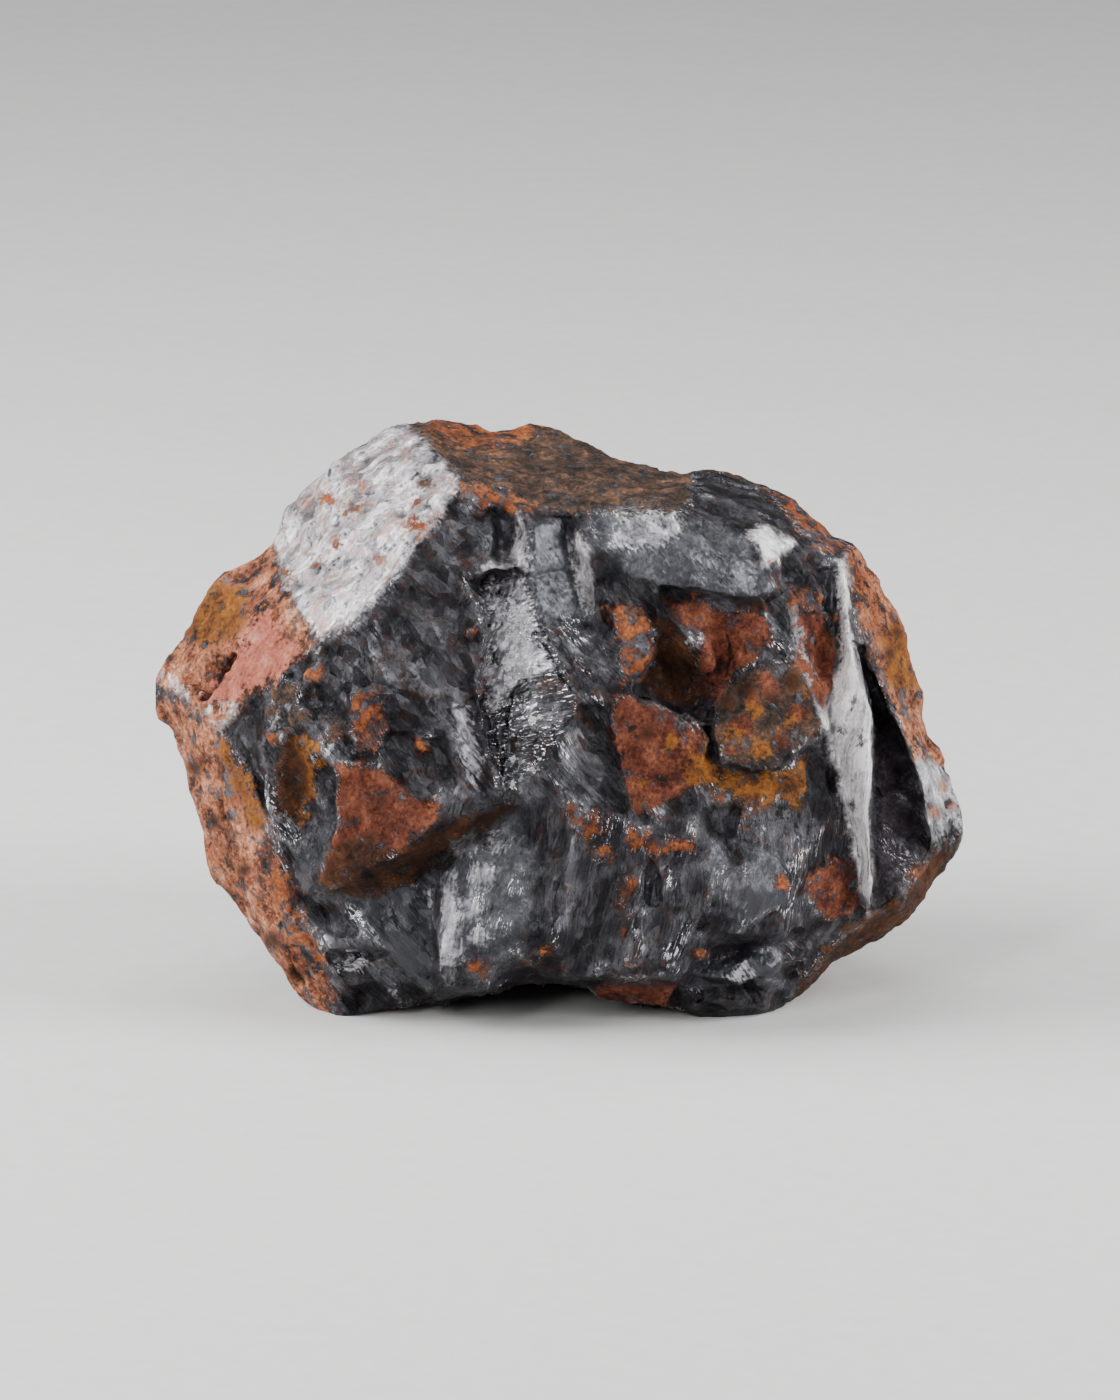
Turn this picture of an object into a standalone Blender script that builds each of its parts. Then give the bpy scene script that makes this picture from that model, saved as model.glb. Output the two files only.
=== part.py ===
"""A hematite iron ore lump: one broken stone, as wide as a hand is long.

The outline and the creases are laid out as seen from the front and slightly above, in
millimetres: across to the right, up in the plane of that view, and out towards the viewer.
Creases are ridges, ledge lips and hollow floors. A triangulated skin is stretched over them,
one in front of the outline and one behind it, then broken up into scoops and lumps, tipped
upright and cut flat where the stone rests.
"""

import math

import bmesh
import bpy
from mathutils import Matrix, Vector, noise
from mathutils.geometry import delaunay_2d_cdt

# Driving dimensions, in metres and degrees.
LUMP_WIDTH = 0.1211
VIEW_DROP_DEG = 15.0
FRONT_EDGE = 0.0040
BACK_EDGE = 0.0062
SEAT_HEIGHT = 0.0038
MM = 0.001

NODE_NAME = "ore_lump"
STONE_COLOR = (0.17, 0.13, 0.12, 1.0)
STONE_ROUGHNESS = 0.5
STONE_METALLIC = 0.45
SHARP_DEG = 30.0

# The outline, clockwise from the left corner, as (across, up, out) in millimetres.
RIM = [
    (-60.7, 50.5, 3), (-60.2, 52, 3), (-58.5, 54.8, 3), (-56, 58, 3), (-55, 60.2, 3),
    (-53, 63, 3), (-50, 66.8, 3), (-47, 68.3, 2.5), (-45, 70.2, 2), (-43.3, 71.3, 2),
    (-41.5, 74.2, 3), (-40.5, 77, 4), (-38.5, 79.4, 4), (-36.5, 81.4, 4.5), (-35, 82.8, 5),
    (-34, 84.2, 5), (-31, 85.6, 4), (-28.5, 87.3, 3), (-26.5, 88.7, 2), (-23.5, 89.9, 0),
    (-22, 90.1, -2), (-20, 90, -4), (-18.5, 90.5, -5), (-16, 90, -6), (-13, 89.2, -7),
    (-11, 88.6, -8), (-8, 88.7, -8), (-6, 89.1, -8), (-3, 89.1, -8), (0, 88.6, -8),
    (1.5, 87.6, -7), (4, 86.4, -6), (7, 84.8, -4), (9, 83.7, -3), (11.5, 83.2, -2),
    (13, 83.3, -2), (15, 82.3, -1), (17, 81.9, 0), (20, 82.1, 1), (23, 82.4, 1),
    (26, 81.7, 1), (28.5, 81, 1), (31, 80.4, 1), (34, 79, 1), (35, 78, 1),
    (36.5, 76.3, 1.5), (38.5, 74.5, 2), (40.5, 73, 2.5), (42.5, 72.3, 3), (44, 71.7, 3),
    (45.2, 70, 3), (45.8, 68.3, 3), (47.5, 66.3, 3), (48.5, 63.8, 3), (50.2, 61.2, 3),
    (51.3, 58.5, 2.5), (52, 55.5, 2), (52.8, 53, 1.5), (53.2, 50.8, 1), (54.1, 49.3, 1),
    (54, 47.3, 1), (54.6, 45, 0.5), (55.5, 42.7, 0), (57, 41, 0), (57.6, 39, 0),
    (58.6, 36, -0.5), (59.6, 33.5, -1), (60.3, 30.8, -1), (60.4, 28.3, -1), (59.5, 26, -1),
    (57.8, 23.5, -1), (56, 21, -0.5), (55, 19, 0), (53.5, 16.7, 0), (51, 14.8, 0.5),
    (48, 12.8, 1), (45, 11.2, 2), (42.5, 10, 2.5), (40.5, 8.6, 3), (38.5, 6.5, 4),
    (36, 4.5, 5), (34, 2.8, 6), (32.5, 1.2, 8), (30, 0.5, 10), (27, 0.2, 11),
    (24, 0.2, 12), (21, 0.4, 12), (19, 1.4, 13), (17, 2.3, 14), (15, 2.7, 14),
    (12, 2.8, 14), (9, 3.2, 14), (6, 3.8, 14), (3, 4.6, 14), (0, 5.3, 14),
    (-3, 5.5, 14), (-6, 5.3, 14.5), (-8.5, 4.3, 15), (-11, 3.5, 15), (-14, 3.2, 15),
    (-17.5, 2.6, 15), (-20.5, 2.9, 13), (-23, 2.5, 12), (-27, 1.7, 12), (-31, 1.2, 12),
    (-33.5, 0.6, 11), (-35.5, 1.3, 9), (-38, 3, 7), (-40, 5, 6), (-41.5, 7.3, 5),
    (-43.5, 9.6, 4), (-45, 11.6, 3), (-46.5, 14, 3), (-48, 16.4, 2), (-49.5, 18.8, 2),
    (-51.2, 20.8, 2), (-52.4, 23, 2), (-53, 25.5, 2), (-53.2, 28.3, 2), (-54.2, 31.2, 2),
    (-55, 34, 2), (-56, 37.5, 2), (-57.2, 41, 2), (-58.3, 43.5, 2), (-59.8, 45.5, 2.5),
    (-60.6, 48.3, 3),
]

# Creases of the front, each a chain of (across, up, out) in millimetres.
FRONT_CREASES = {
    # The slanting slab at the upper left, and what it borders on.
    "slab_foot": [
        (-60.6, 48.3, 3), (-57.6, 49, 7.5), (-55.4, 47.2, 10), (-52.8, 45.2, 12.5), (-51, 44, 14),
    ],
    "slab_ridge": [
        (-51, 44, 14), (-48.5, 47, 16.5), (-46, 48.5, 18.3), (-43, 50.2, 20), (-40.5, 52.5, 21.5),
        (-38, 54.5, 22.7), (-36, 56.5, 23.7), (-34, 57.8, 24.6), (-31.5, 59.5, 25.6),
        (-29.5, 61, 26.3), (-28, 63, 26.8), (-26, 65, 27.1), (-24, 67, 27.2), (-22.5, 69, 27.2),
        (-21.5, 71, 27), (-20, 72.5, 26.8), (-18.5, 74, 26.5), (-17, 75.5, 26),
        (-16.5, 77.5, 25.2), (-15.5, 79, 24.5), (-14.6, 80.2, 24),
    ],
    "slab_crown": [
        (-14.6, 80.2, 24), (-15.5, 81.8, 22), (-17, 83.3, 19.5), (-18.8, 84.5, 17),
        (-19.5, 86, 14), (-20.8, 87.6, 10), (-22.3, 88.7, 6), (-23.5, 89.9, 0),
    ],
    "slab_swell": [
        (-56.5, 51.5, 7.5), (-51.5, 56.5, 11), (-46, 61, 13.8), (-40.5, 66, 15.5),
        (-35, 71, 16.3), (-30, 77.5, 16.5), (-25.5, 83, 14),
    ],
    "slab_gash_lip": [(-53.4, 48.4, 12.2), (-51.5, 50.3, 13.2), (-49.6, 52.4, 14), (-48, 55.2, 14)],
    "slab_gash_floor": [(-52.9, 49.4, 10.7), (-51.6, 50.9, 11.2), (-49.9, 53.2, 11.8)],
    # The brow, the front edge of the top.
    "brow": [
        (-14.6, 80.2, 24), (-12, 79.8, 24.5), (-9, 78.8, 25), (-6.5, 77.4, 25.5), (-4, 76.3, 26),
        (-1, 75.6, 26.5), (2, 75.5, 27), (5, 76.3, 27), (9, 76.2, 27), (13, 76, 27),
        (17, 75.8, 26.5), (20, 75.5, 26), (23, 74.6, 25.5), (25.5, 75, 24), (28.5, 74.4, 23),
        (31.5, 74, 21.5), (34.5, 72.5, 19.5), (37.5, 71.2, 17.5), (40, 70, 16), (42.3, 69.3, 14.5),
    ],
    "brow_end": [(42.3, 69.3, 14.5), (43.5, 70.5, 9), (44, 71.7, 3)],
    "top_fold": [
        (-16, 85, 13), (-12, 83, 15.5), (-5, 81.2, 17), (3, 80, 18.5), (10, 78.6, 20.5),
        (16, 78, 21.5), (22, 78.5, 17), (28, 78, 14), (33, 76, 12), (38, 72.8, 10),
    ],
    "top_back_fold": [(-14, 87.6, 1), (-4, 86.8, -1), (4, 84.5, 2), (12, 81.6, 6), (24, 80.8, 7)],
    # The rusty face at the far left.
    "left_edge": [
        (-51, 44, 14), (-49, 40.5, 15.5), (-47.4, 38, 16.2), (-45.8, 35.5, 17), (-44.8, 33, 17.3),
        (-43.8, 30.5, 17.5), (-43, 28, 17.6), (-42, 25.5, 17.6), (-41, 23, 17.6), (-40, 20.5, 17.5),
        (-39, 18, 17), (-38, 15.5, 16.6), (-37, 13.5, 16.2), (-35.8, 11, 15.6), (-34.8, 8.5, 15),
        (-33.8, 6, 14.2), (-33.2, 3.5, 13), (-33.5, 0.6, 11),
    ],
    "left_swell": [
        (-56.5, 45, 7.5), (-53.5, 38.5, 9), (-50.5, 31.5, 10), (-48, 24.5, 10.5),
        (-45, 17.5, 10.5), (-41.5, 11, 10.5), (-37.5, 5.5, 9.5),
    ],
    "left_dent": [(-55, 35, 4), (-52.5, 30, 5.5), (-50.8, 25.5, 5)],
    # The broad dark face between the slab and the bright strip.
    "left_shelf": [
        (-47, 45.5, 18.6), (-45, 42, 20.5), (-43.7, 38, 21), (-43.4, 34.5, 20.6),
        (-42.3, 30.5, 20.3), (-41.3, 27.5, 20),
    ],
    "left_slot": [(-45.9, 38.2, 17.2), (-44.4, 34.8, 16.4), (-43.3, 31.2, 16.6)],
    "pit_brow": [(-42, 42, 23.4), (-39.5, 43.6, 24.6), (-36.5, 43.4, 25.8)],
    "pit_floor": [(-39.6, 38.6, 21.9), (-39.8, 35, 20.8), (-38.6, 32.2, 20.6), (-37.2, 36, 21.6)],
    "pit_ridge": [
        (-36.5, 43.4, 25.8), (-34, 38.8, 26.2), (-33.2, 34, 26.2), (-32.8, 29.8, 25.9),
        (-34.3, 26.5, 24.7), (-37.3, 23, 22.2),
    ],
    "face_swell": [
        (-38, 50, 24.2), (-33, 53, 26), (-27.5, 57, 28), (-22.5, 63, 29), (-17.5, 68, 28.8),
    ],
    "face_middle": [(-31.5, 45, 27), (-26.5, 48, 28.6), (-20.5, 52, 29.6), (-15.5, 58, 30)],
    "small_notch_lip": [(-25.2, 43.2, 28.7), (-22.5, 43.1, 29.4), (-19.8, 42.9, 29.8)],
    "small_notch_floor": [(-24.6, 42.2, 27.4), (-22.4, 42, 27.5), (-20, 41.9, 27.9)],
    "flute": [(-16.2, 46.8, 30.3), (-15.5, 42, 30.9), (-14.9, 38, 30.7), (-14.6, 34.6, 30)],
    "flute_foot": [(-13.2, 47, 29), (-12.9, 42, 29.2), (-12, 37, 29), (-11.4, 33.6, 28.6)],
    "red_face": [(-30.3, 37.5, 27.3), (-28, 33.5, 27.2), (-25.5, 29.5, 27.6)],
    # The overhanging ledge, lower left.
    "ledge_lip": [
        (-40, 20.5, 17.5), (-37, 20.4, 21), (-33.5, 20, 24), (-30.5, 20.8, 25.6),
        (-28.5, 22.2, 26.6), (-26.5, 24.1, 27.4), (-24, 25.4, 28.1), (-21, 27.5, 28.7),
        (-18.5, 29.6, 29.1), (-16, 30.6, 29.3), (-13, 31.5, 29), (-10, 32.2, 28.6),
        (-7.5, 32.4, 28.2), (-5.8, 32, 27.6),
    ],
    "ledge_root": [
        (-36, 19.3, 19), (-33, 18.8, 19.2), (-29.5, 18.5, 19.4), (-26, 19.4, 19.6),
        (-22, 20.6, 20), (-19.2, 22.8, 20.8), (-16.5, 25, 22.2), (-13.5, 27.3, 23.4),
        (-10.5, 29.6, 24.6), (-8, 31.1, 26), (-5.8, 32, 27.6),
    ],
    "heel_lip": [
        (-35.8, 11, 15.6), (-33, 11, 18.2), (-30.5, 11, 19.2), (-28.6, 11.3, 19.6),
        (-27.5, 12.7, 19.3), (-29, 15.5, 19.4),
    ],
    "heel_floor": [(-34.4, 9.9, 14.8), (-32.6, 9.8, 15.2), (-30.4, 9.9, 15.8), (-28.9, 10.1, 16.8)],
    "heel_chip": [(-33, 7.6, 17), (-30.6, 7.5, 17.6), (-28.8, 8.6, 17.8)],
    "plane_diagonal": [
        (-28, 17.6, 19.6), (-26.2, 13.5, 19.4), (-24.5, 10.5, 18.4), (-22.3, 7, 16.8),
        (-20.4, 4.4, 14.8),
    ],
    "corner_crest": [
        (-18.3, 22.6, 24.2), (-18.2, 20, 25), (-18.3, 16.5, 25.6), (-18, 13, 25.4),
        (-17.9, 10, 24.8), (-18.2, 7, 23.4), (-18.7, 4.5, 20.6),
    ],
    "corner_root": [
        (-19, 21.6, 20.3), (-18.9, 19, 20), (-19.1, 16.5, 19.6), (-18.8, 13, 19.2),
        (-18.7, 10, 18.4), (-19.1, 7, 17), (-19.4, 4.6, 15.4),
    ],
    # The bright upright strip and the panes and fins at its head.
    "strip_lip": [
        (-12.5, 64.4, 28.6), (-11.8, 61, 29.8), (-11.7, 57, 30.1), (-12.1, 53, 30.2),
        (-12.3, 49, 29.9), (-11.5, 45, 29.6), (-10.9, 41, 29.3), (-9.7, 38, 29),
        (-8.9, 35.5, 28.8), (-8.5, 33.6, 28.4),
    ],
    "strip_foot": [
        (-11.6, 64.6, 26.9), (-10.9, 61, 26.9), (-10.8, 57, 26.9), (-11.1, 53, 27.2),
        (-11.3, 49, 27.6), (-10.5, 45, 27.8), (-9.9, 41, 27.8), (-8.8, 38, 27.8),
        (-8, 35.5, 27.7), (-7.5, 33.9, 27.6),
    ],
    "strip_crest": [
        (-5.3, 66.2, 29.6), (-4.5, 62.5, 30.3), (-3.7, 59, 30.6), (-2.8, 56.5, 30.9),
        (-1.3, 53.3, 31), (0.6, 50.8, 30.7), (2.8, 47.5, 30.4), (5.5, 43.5, 29.8), (7.2, 40.6, 29),
    ],
    "notch_lip": [
        (-14.5, 65.4, 28.4), (-12.4, 66.9, 29.3), (-9.6, 67.7, 30), (-7, 67.8, 30.2),
        (-5.3, 67.3, 30.3),
    ],
    "notch_floor": [(-12.5, 65.4, 27.2), (-10, 66.1, 26.2), (-7.6, 66.5, 26.2), (-6, 66.6, 27.2)],
    "window_edge": [(-11.2, 75.2, 25.8), (-10.3, 72.5, 28), (-10.2, 69.8, 29)],
    "window_floor": [(-9.8, 74.9, 24.6), (-9.2, 72.4, 25.2), (-9.2, 70.4, 26.4)],
    "chip_foot": [(-6.9, 75.6, 25.2), (-7.5, 72.6, 25.6), (-8.5, 70.2, 26.8)],
    "chip_crest": [(-5, 76.4, 26.2), (-5, 73, 29.2), (-5, 70, 30.3), (-5.1, 68.4, 30.4)],
    "fin_foot": [
        (0.7, 75.2, 25.9), (1.1, 71.5, 25.8), (1.9, 68, 26.1), (2.8, 65, 26.6), (3.4, 62.5, 27),
        (4, 60.2, 28),
    ],
    "fin_crest": [
        (1.8, 74.8, 27.2), (3.1, 72.5, 28.6), (4, 69, 29.3), (4.7, 66.5, 29.6), (5, 63, 29.5),
        (4.8, 60, 28.8),
    ],
    "pane_foot": [(-3, 59.7, 30), (-0.8, 60.6, 29), (1.2, 60.6, 28), (2.7, 59.6, 28.4), (5, 57.6, 28.6)],
    "pane_side": [(8.3, 67.4, 28.2), (8, 63.5, 27.6), (7.8, 59.5, 27.2), (7.6, 57, 28.2)],
    "lower_pane": [(2.2, 56, 29.6), (5, 53, 29.4), (8, 50.4, 28.9)],
    # The steel-grey slab under the brow, with chips at its right end.
    "steel_foot": [
        (8.3, 67.4, 28.2), (12, 66.4, 28.8), (15, 65.3, 29), (19, 64.9, 29), (23, 64, 28.5),
        (25.5, 63.2, 28), (29, 63.2, 27), (31.5, 64.4, 25.8), (33.4, 64.2, 23.6),
    ],
    "steel_swell": [(7, 71.5, 28.4), (13, 71, 29.2), (19, 69.5, 29.2), (25, 67.5, 28.2)],
    "chip_hollow": [(19, 73.6, 26.4), (22.4, 72, 26.6), (26.5, 70.6, 26), (29.6, 68.6, 25.4)],
    "shelf_spur": [(28.3, 73.2, 24.4), (30, 70.5, 25.4), (31, 68, 26), (31.5, 65.8, 25.6)],
    "spur_back": [(33.8, 70.8, 21), (33.3, 68, 21.6), (36.5, 68.6, 19.4), (39.6, 68.3, 17)],
    # The rust-filled hollow.
    "hollow_head": [(15.8, 64.1, 26.8), (19.8, 63.4, 25.2), (24, 62, 24), (28, 61.4, 23.4), (31.4, 60.4, 23.2)],
    "nose_crest": [(14.8, 62.8, 28), (16.4, 60.3, 27.9), (18.4, 58, 27.6), (20.5, 56, 27.2), (22.2, 54.4, 26.4)],
    "nose_foot": [
        (18.2, 62.3, 25.6), (20.4, 60, 25), (22.2, 57.4, 24.2), (23.2, 54.2, 23.3),
        (22.9, 51, 22.9), (21.9, 48.4, 23.2),
    ],
    "orange_crest": [(8.1, 61.6, 28), (8.4, 57.4, 28.5), (9, 53.6, 28.9), (9.7, 50.4, 29.1)],
    "orange_foot": [(13.4, 61.4, 26.8), (14, 57, 25.6), (14.4, 53.6, 24.6), (13.6, 50.6, 24.2)],
    "pit_deep": [(16.2, 56.4, 23.6), (16.8, 53, 22.3), (18.3, 50.4, 21.6), (20, 50.8, 22)],
    "brown_wall": [(26, 58, 24.8), (29.5, 57.4, 25), (31.6, 55.6, 24.6)],
    "plate_lip": [
        (7.6, 48.9, 29.4), (10.5, 49.2, 29.5), (13, 48.2, 29.3), (15.5, 47, 29.1),
        (18, 45.8, 28.7), (20.5, 44.4, 28), (21.6, 42.8, 27.6),
    ],
    "plate_back": [(10.9, 50, 25.4), (13.3, 49.2, 23.8), (15.8, 48.1, 23.2), (18.2, 47, 23.5), (20.8, 45.9, 24.6)],
    "plate_edge": [
        (7.6, 48.9, 29.4), (7.3, 45.5, 29.6), (8, 42, 29.6), (8.8, 39, 29.5), (9.8, 36, 29.3),
        (10.1, 33, 29), (10.8, 30.8, 28.7),
    ],
    "plate_edge_foot": [(6.6, 45.4, 28.9), (8.1, 38.6, 28.5), (9.2, 35.6, 28.3), (9.5, 32.6, 28)],
    "plate_foot": [(10.8, 30.8, 28.7), (14.5, 32.3, 28.8), (17.8, 34.4, 28.4), (20, 37.4, 27.6)],
    "brown_lip": [
        (22.7, 47.4, 25.2), (22.6, 44.4, 26.4), (23.2, 41.6, 27.1), (24.1, 39.2, 27.6),
        (26, 38.5, 27.8), (28.5, 37.8, 27.9), (31, 37.6, 27.9), (33, 38.4, 27.7),
        (34.6, 40, 27.3), (37, 42.2, 26.2), (39.2, 44.7, 24.4),
    ],
    "brown_foot": [
        (22, 43.6, 25.1), (22.5, 41, 25.4), (23.4, 38.4, 25.6), (26, 37.6, 25.6),
        (28.6, 36.9, 25.6), (31.2, 36.7, 25.5), (33.5, 37.4, 25.3), (35.4, 39.1, 24.9),
        (37.9, 41.4, 24.1),
    ],
    "brown_swell": [(26, 47.5, 26.2), (30, 45, 26.8), (34.5, 46.5, 25.8), (30, 51, 25.4), (34.4, 52, 24.4)],
    # The thin ridge, the red triangle and the silver pillar on the right.
    "thin_ridge": [
        (33.4, 64.2, 23.6), (34.5, 61, 23.4), (34.9, 57, 23.7), (36, 53.5, 24.2),
        (37.5, 50, 24.7), (38.7, 47, 25), (39.2, 44.7, 24.4),
    ],
    "red_triangle": [(37.8, 62, 18.4), (38.4, 57, 17.8), (39, 52, 18.6)],
    "pillar_left": [
        (40.6, 67, 15.6), (40.5, 63, 15.8), (41, 59, 16.6), (41.4, 55.5, 17.6), (40.6, 51, 19),
        (39.9, 46.8, 20.4), (41, 42, 20.4), (42, 36.5, 20), (42.6, 32, 19.4), (43.6, 27.5, 18.2),
        (44.7, 22.5, 16.8), (45, 19, 16), (45.8, 16.3, 15),
    ],
    "pillar_crest": [
        (42.3, 69.3, 14.5), (42.4, 66, 17), (42.7, 62, 19), (43, 57.5, 20.6), (44, 52.5, 22.4),
        (45.1, 49, 23.4), (46.2, 46, 24), (45.8, 42.3, 24), (45.8, 37, 23.6), (45.3, 31.5, 23),
        (46, 26.5, 21.6), (46.2, 22, 20.4), (46.3, 17.8, 18.2),
    ],
    "recess_left": [
        (44.2, 56, 14), (45.5, 52.5, 9.5), (46.6, 49.5, 8), (47.4, 46.2, 7.5), (47.3, 43.4, 9.5),
        (46.8, 41, 9.5), (46.8, 37, 9.5), (46.4, 31.5, 10.6), (47.1, 26.5, 11), (47.3, 22, 11.6),
        (47.4, 18.4, 12.6),
    ],
    "recess_right": [
        (45.2, 55.6, 12.5), (46.7, 51.2, 8.5), (48.4, 47.2, 7), (49.5, 44.4, 8.6),
        (51, 41.2, 8.8), (52.4, 38, 8.4), (53.4, 35.2, 8.2), (53.9, 31, 7.6), (54.6, 27.6, 6.8),
    ],
    "recess_sill": [(48.6, 35.3, 9.4), (51.4, 35.1, 9), (51.2, 34.1, 10), (48.4, 34.3, 10.8)],
    "right_edge": [
        (42.3, 69.3, 14.5), (43.4, 64, 15.4), (44.3, 59.5, 15.6), (45.7, 56.3, 15),
        (47.2, 51.8, 14), (49.1, 47.5, 13), (50.9, 43.8, 12.2), (52.7, 39.4, 11),
        (54.2, 35.7, 10), (55, 31, 9.4), (55.8, 27.4, 8), (57.6, 26.4, 5), (60.4, 28.3, -1),
    ],
    "right_swell": [(46.5, 63, 9.5), (49, 56.5, 8.6), (51, 50, 7.4), (53, 44, 6.4), (56.4, 36, 4.8), (57.8, 31, 4)],
    # The rough brown band along the lower right, and the undersides below the hem.
    "band_edge": [
        (57.6, 26.4, 5), (55.6, 25, 7), (53.4, 22.5, 9), (51.4, 20.4, 11), (49.8, 18, 12.6),
        (47.8, 16.6, 13.8), (45.4, 15.6, 14.6), (43, 14.2, 15.2), (41, 12.3, 14.4),
        (39, 10, 12.4), (36.6, 7.2, 11), (34.4, 4.8, 10),
    ],
    "knuckle": [(37.2, 19.4, 21.4), (39.4, 19.2, 20.2), (41, 17, 18.4), (40, 14.2, 17.6), (38, 13, 17.4)],
    "knuckle_top": [(41.2, 25.4, 20.2), (43, 23, 18.6), (42.6, 20.4, 17.2)],
    "hem_lip": [
        (-18.7, 4.5, 20.6), (-15.5, 4.9, 21.4), (-13, 5.4, 21.8), (-10.5, 4.8, 21.4),
        (-8.6, 6.2, 22.2), (-7, 7.7, 22.8), (-4, 8.4, 23.2), (-2, 8, 23.2), (-0.5, 7.2, 23),
        (2.5, 7, 23), (6, 7, 23.2), (10, 7.1, 23.2), (14, 7.1, 23.2), (17, 7, 22.8),
        (18.5, 7.7, 22.8), (20.5, 9.6, 23.2), (22.5, 11.1, 23.5), (25, 12.4, 23.8),
        (28, 12.4, 23.8), (31, 12.6, 23.5), (33, 13.6, 22.9), (34.5, 15.1, 22.4),
        (35.5, 17, 22), (37.2, 19.4, 21.4),
    ],
    "hem_root": [
        (-8.3, 5.1, 17), (-4, 6.6, 16.8), (0, 6.1, 16.8), (4, 5.5, 17.2), (9, 5.3, 17.6),
        (14, 5.6, 17.6), (17.6, 5.7, 17), (20, 7.4, 16.8), (23, 9.6, 17.2), (26, 10.7, 17.8),
        (29, 11, 18), (32, 11.4, 17.8), (34.4, 12.6, 17.8),
    ],
    "glass_facet": [(24.4, 6.5, 18.6), (27.6, 9.2, 19.4), (28.7, 5.8, 18.2)],
    "glass_right": [(31.8, 8.6, 18.4), (35.4, 9.2, 16.4), (32.2, 5.8, 14.6)],
    "toe_crease": [(18, 3.6, 14.6), (20.2, 4.7, 14.8), (24, 5.3, 15.4), (28, 4.9, 15), (31, 4.2, 13.4)],
    "toe_crest": [(19.5, 2.6, 15.6), (23, 3.3, 17), (27, 3.3, 16.8), (30, 2.6, 14.6)],
    # The broad lower front.
    "lower_swell": [(-14, 24.5, 26.2), (-10, 20, 27), (-6, 14, 27), (0, 11.5, 27), (7, 11.5, 27.2)],
    "lower_middle": [(-3, 28, 28), (1.5, 24, 28.4), (6, 19.5, 28.4), (10, 14, 27.8)],
    "chisel_edge": [(15.3, 21.4, 29), (15.2, 17.4, 28.8), (12.5, 17.2, 28.6), (12.1, 13.4, 28), (11.8, 10.6, 27)],
    "chisel_foot": [(14.5, 21.2, 27.9), (14.5, 18, 27.7), (11.8, 17.4, 27.5), (11.4, 13.4, 27), (11.2, 10.8, 26.2)],
    "fan_crest": [(20.3, 30.2, 28.6), (23.4, 27, 29.4), (25.8, 23.4, 29.7), (26.8, 20, 29.3), (25.6, 16.4, 28)],
    "fan_foot": [(22.6, 30, 27.6), (26.5, 27.4, 27.6), (29.4, 23.5, 27.4), (29.8, 19.4, 27)],
    "right_front": [(30, 32, 26.8), (34.5, 30.5, 26), (38, 33.5, 24.4), (39, 27.5, 23.2)],
    "lower_facet": [(27.5, 16.4, 26.6), (32, 17.8, 25.6), (35, 21.4, 24.8)],
    "middle_face": [(-5.5, 46, 30.4), (-1, 42.5, 30.4), (2.6, 38, 29.8), (-3.4, 37, 29.2), (4, 32.6, 29)],
}

# Creases of the back and the underside, in the upright frame: across, away from the viewer, up.
BACK_CREASES = {
    "back_crown": [(-37, 24, 69), (-24, 37, 78), (2, 41, 77), (30, 33, 70), (46, 19, 58)],
    "back_left_ridge": [(-24, 37, 78), (-31, 47, 57), (-36, 44, 40), (-41, 37, 22), (-30, 36, 6)],
    "back_middle_ridge": [
        (2, 41, 77), (-4, 53, 59), (6, 57, 44), (0, 55, 26), (-5, 53, 15), (-8, 47, 6),
    ],
    "back_right_ridge": [(30, 33, 70), (35, 44, 51), (30, 49, 34), (34, 42, 16), (27, 33, 5)],
    "left_cheek": [(-37, 24, 69), (-50, 25, 55), (-54, 21, 42), (-46, 27, 24), (-41, 37, 22)],
    "right_cheek": [(46, 19, 58), (52, 24, 43), (55, 19, 30), (46, 25, 16), (34, 42, 16)],
    "back_waist": [
        (-54, 21, 42), (-36, 44, 40), (-16, 54, 46), (6, 57, 44), (30, 49, 34), (55, 19, 30),
    ],
    "back_foot": [(-41, 37, 22), (-20, 48, 17), (-5, 53, 15), (14, 51, 13), (34, 42, 16)],
    "back_ledge_lip": [(-25, 52, 36), (-17, 55, 34), (-8, 56.5, 35), (0.5, 57, 33.6)],
    "back_ledge_root": [(-24, 48.5, 33.5), (-16, 51, 31), (-8, 52.5, 31.5), (0, 53.5, 30)],
    "back_step_lip": [(12, 52, 61), (20, 50, 56), (27, 47.5, 55)],
    "back_step_root": [(12.5, 48.5, 60), (20, 46.5, 54.5), (27, 45, 53)],
    "seat": [
        (-31, 4, 1.2), (-34, 14, 1.2), (-27, 33, 1), (2, 41, 1), (27, 32, 1), (34, 14, 1.2),
        (27, 4, 1.2), (14, 13, 1), (0, 21, 1.3), (-16, 14, 1.2), (-31, 4, 1.2),
    ],
    "seat_middle": [(-14, 25, 0.8), (2, 29, 0.8), (16, 23, 0.8)],
    "left_heel": [(-44, 10, 14), (-42, 20, 11)],
    "right_heel": [(44, 12, 13), (41, 20, 10)],
}


# Relief: where the broken surface departs from the flat triangles, in millimetres.
LUMP_SIZE, LUMP_HEIGHT = 11.0, 0.55
SCOOP_SIZE, SCOOP_HEIGHT = 8.5, 0.5
BACK_LUMP_SIZE, BACK_LUMP_HEIGHT = 26.0, 1.3
BACK_SCOOP_SIZE, BACK_SCOOP_HEIGHT = 21.0, 1.6
RIM_BAND = 7.0
CHORD_BULGE = 0.15
NOISE_SHIFT = Vector((31.7, 12.9, 57.3))


def view_axes():
    """The view's across, up and out directions in the upright frame."""
    drop = math.radians(VIEW_DROP_DEG)
    across = Vector((1.0, 0.0, 0.0))
    up = Vector((0.0, math.sin(drop), math.cos(drop)))
    out = Vector((0.0, -math.cos(drop), math.sin(drop)))
    return across, up, out


def as_seen(point):
    """A point of the upright frame, as across, up and out in the view."""
    return Vector([point.dot(axis) for axis in view_axes()])


def key_of(point):
    return tuple(round(c, 3) for c in point)


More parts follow.
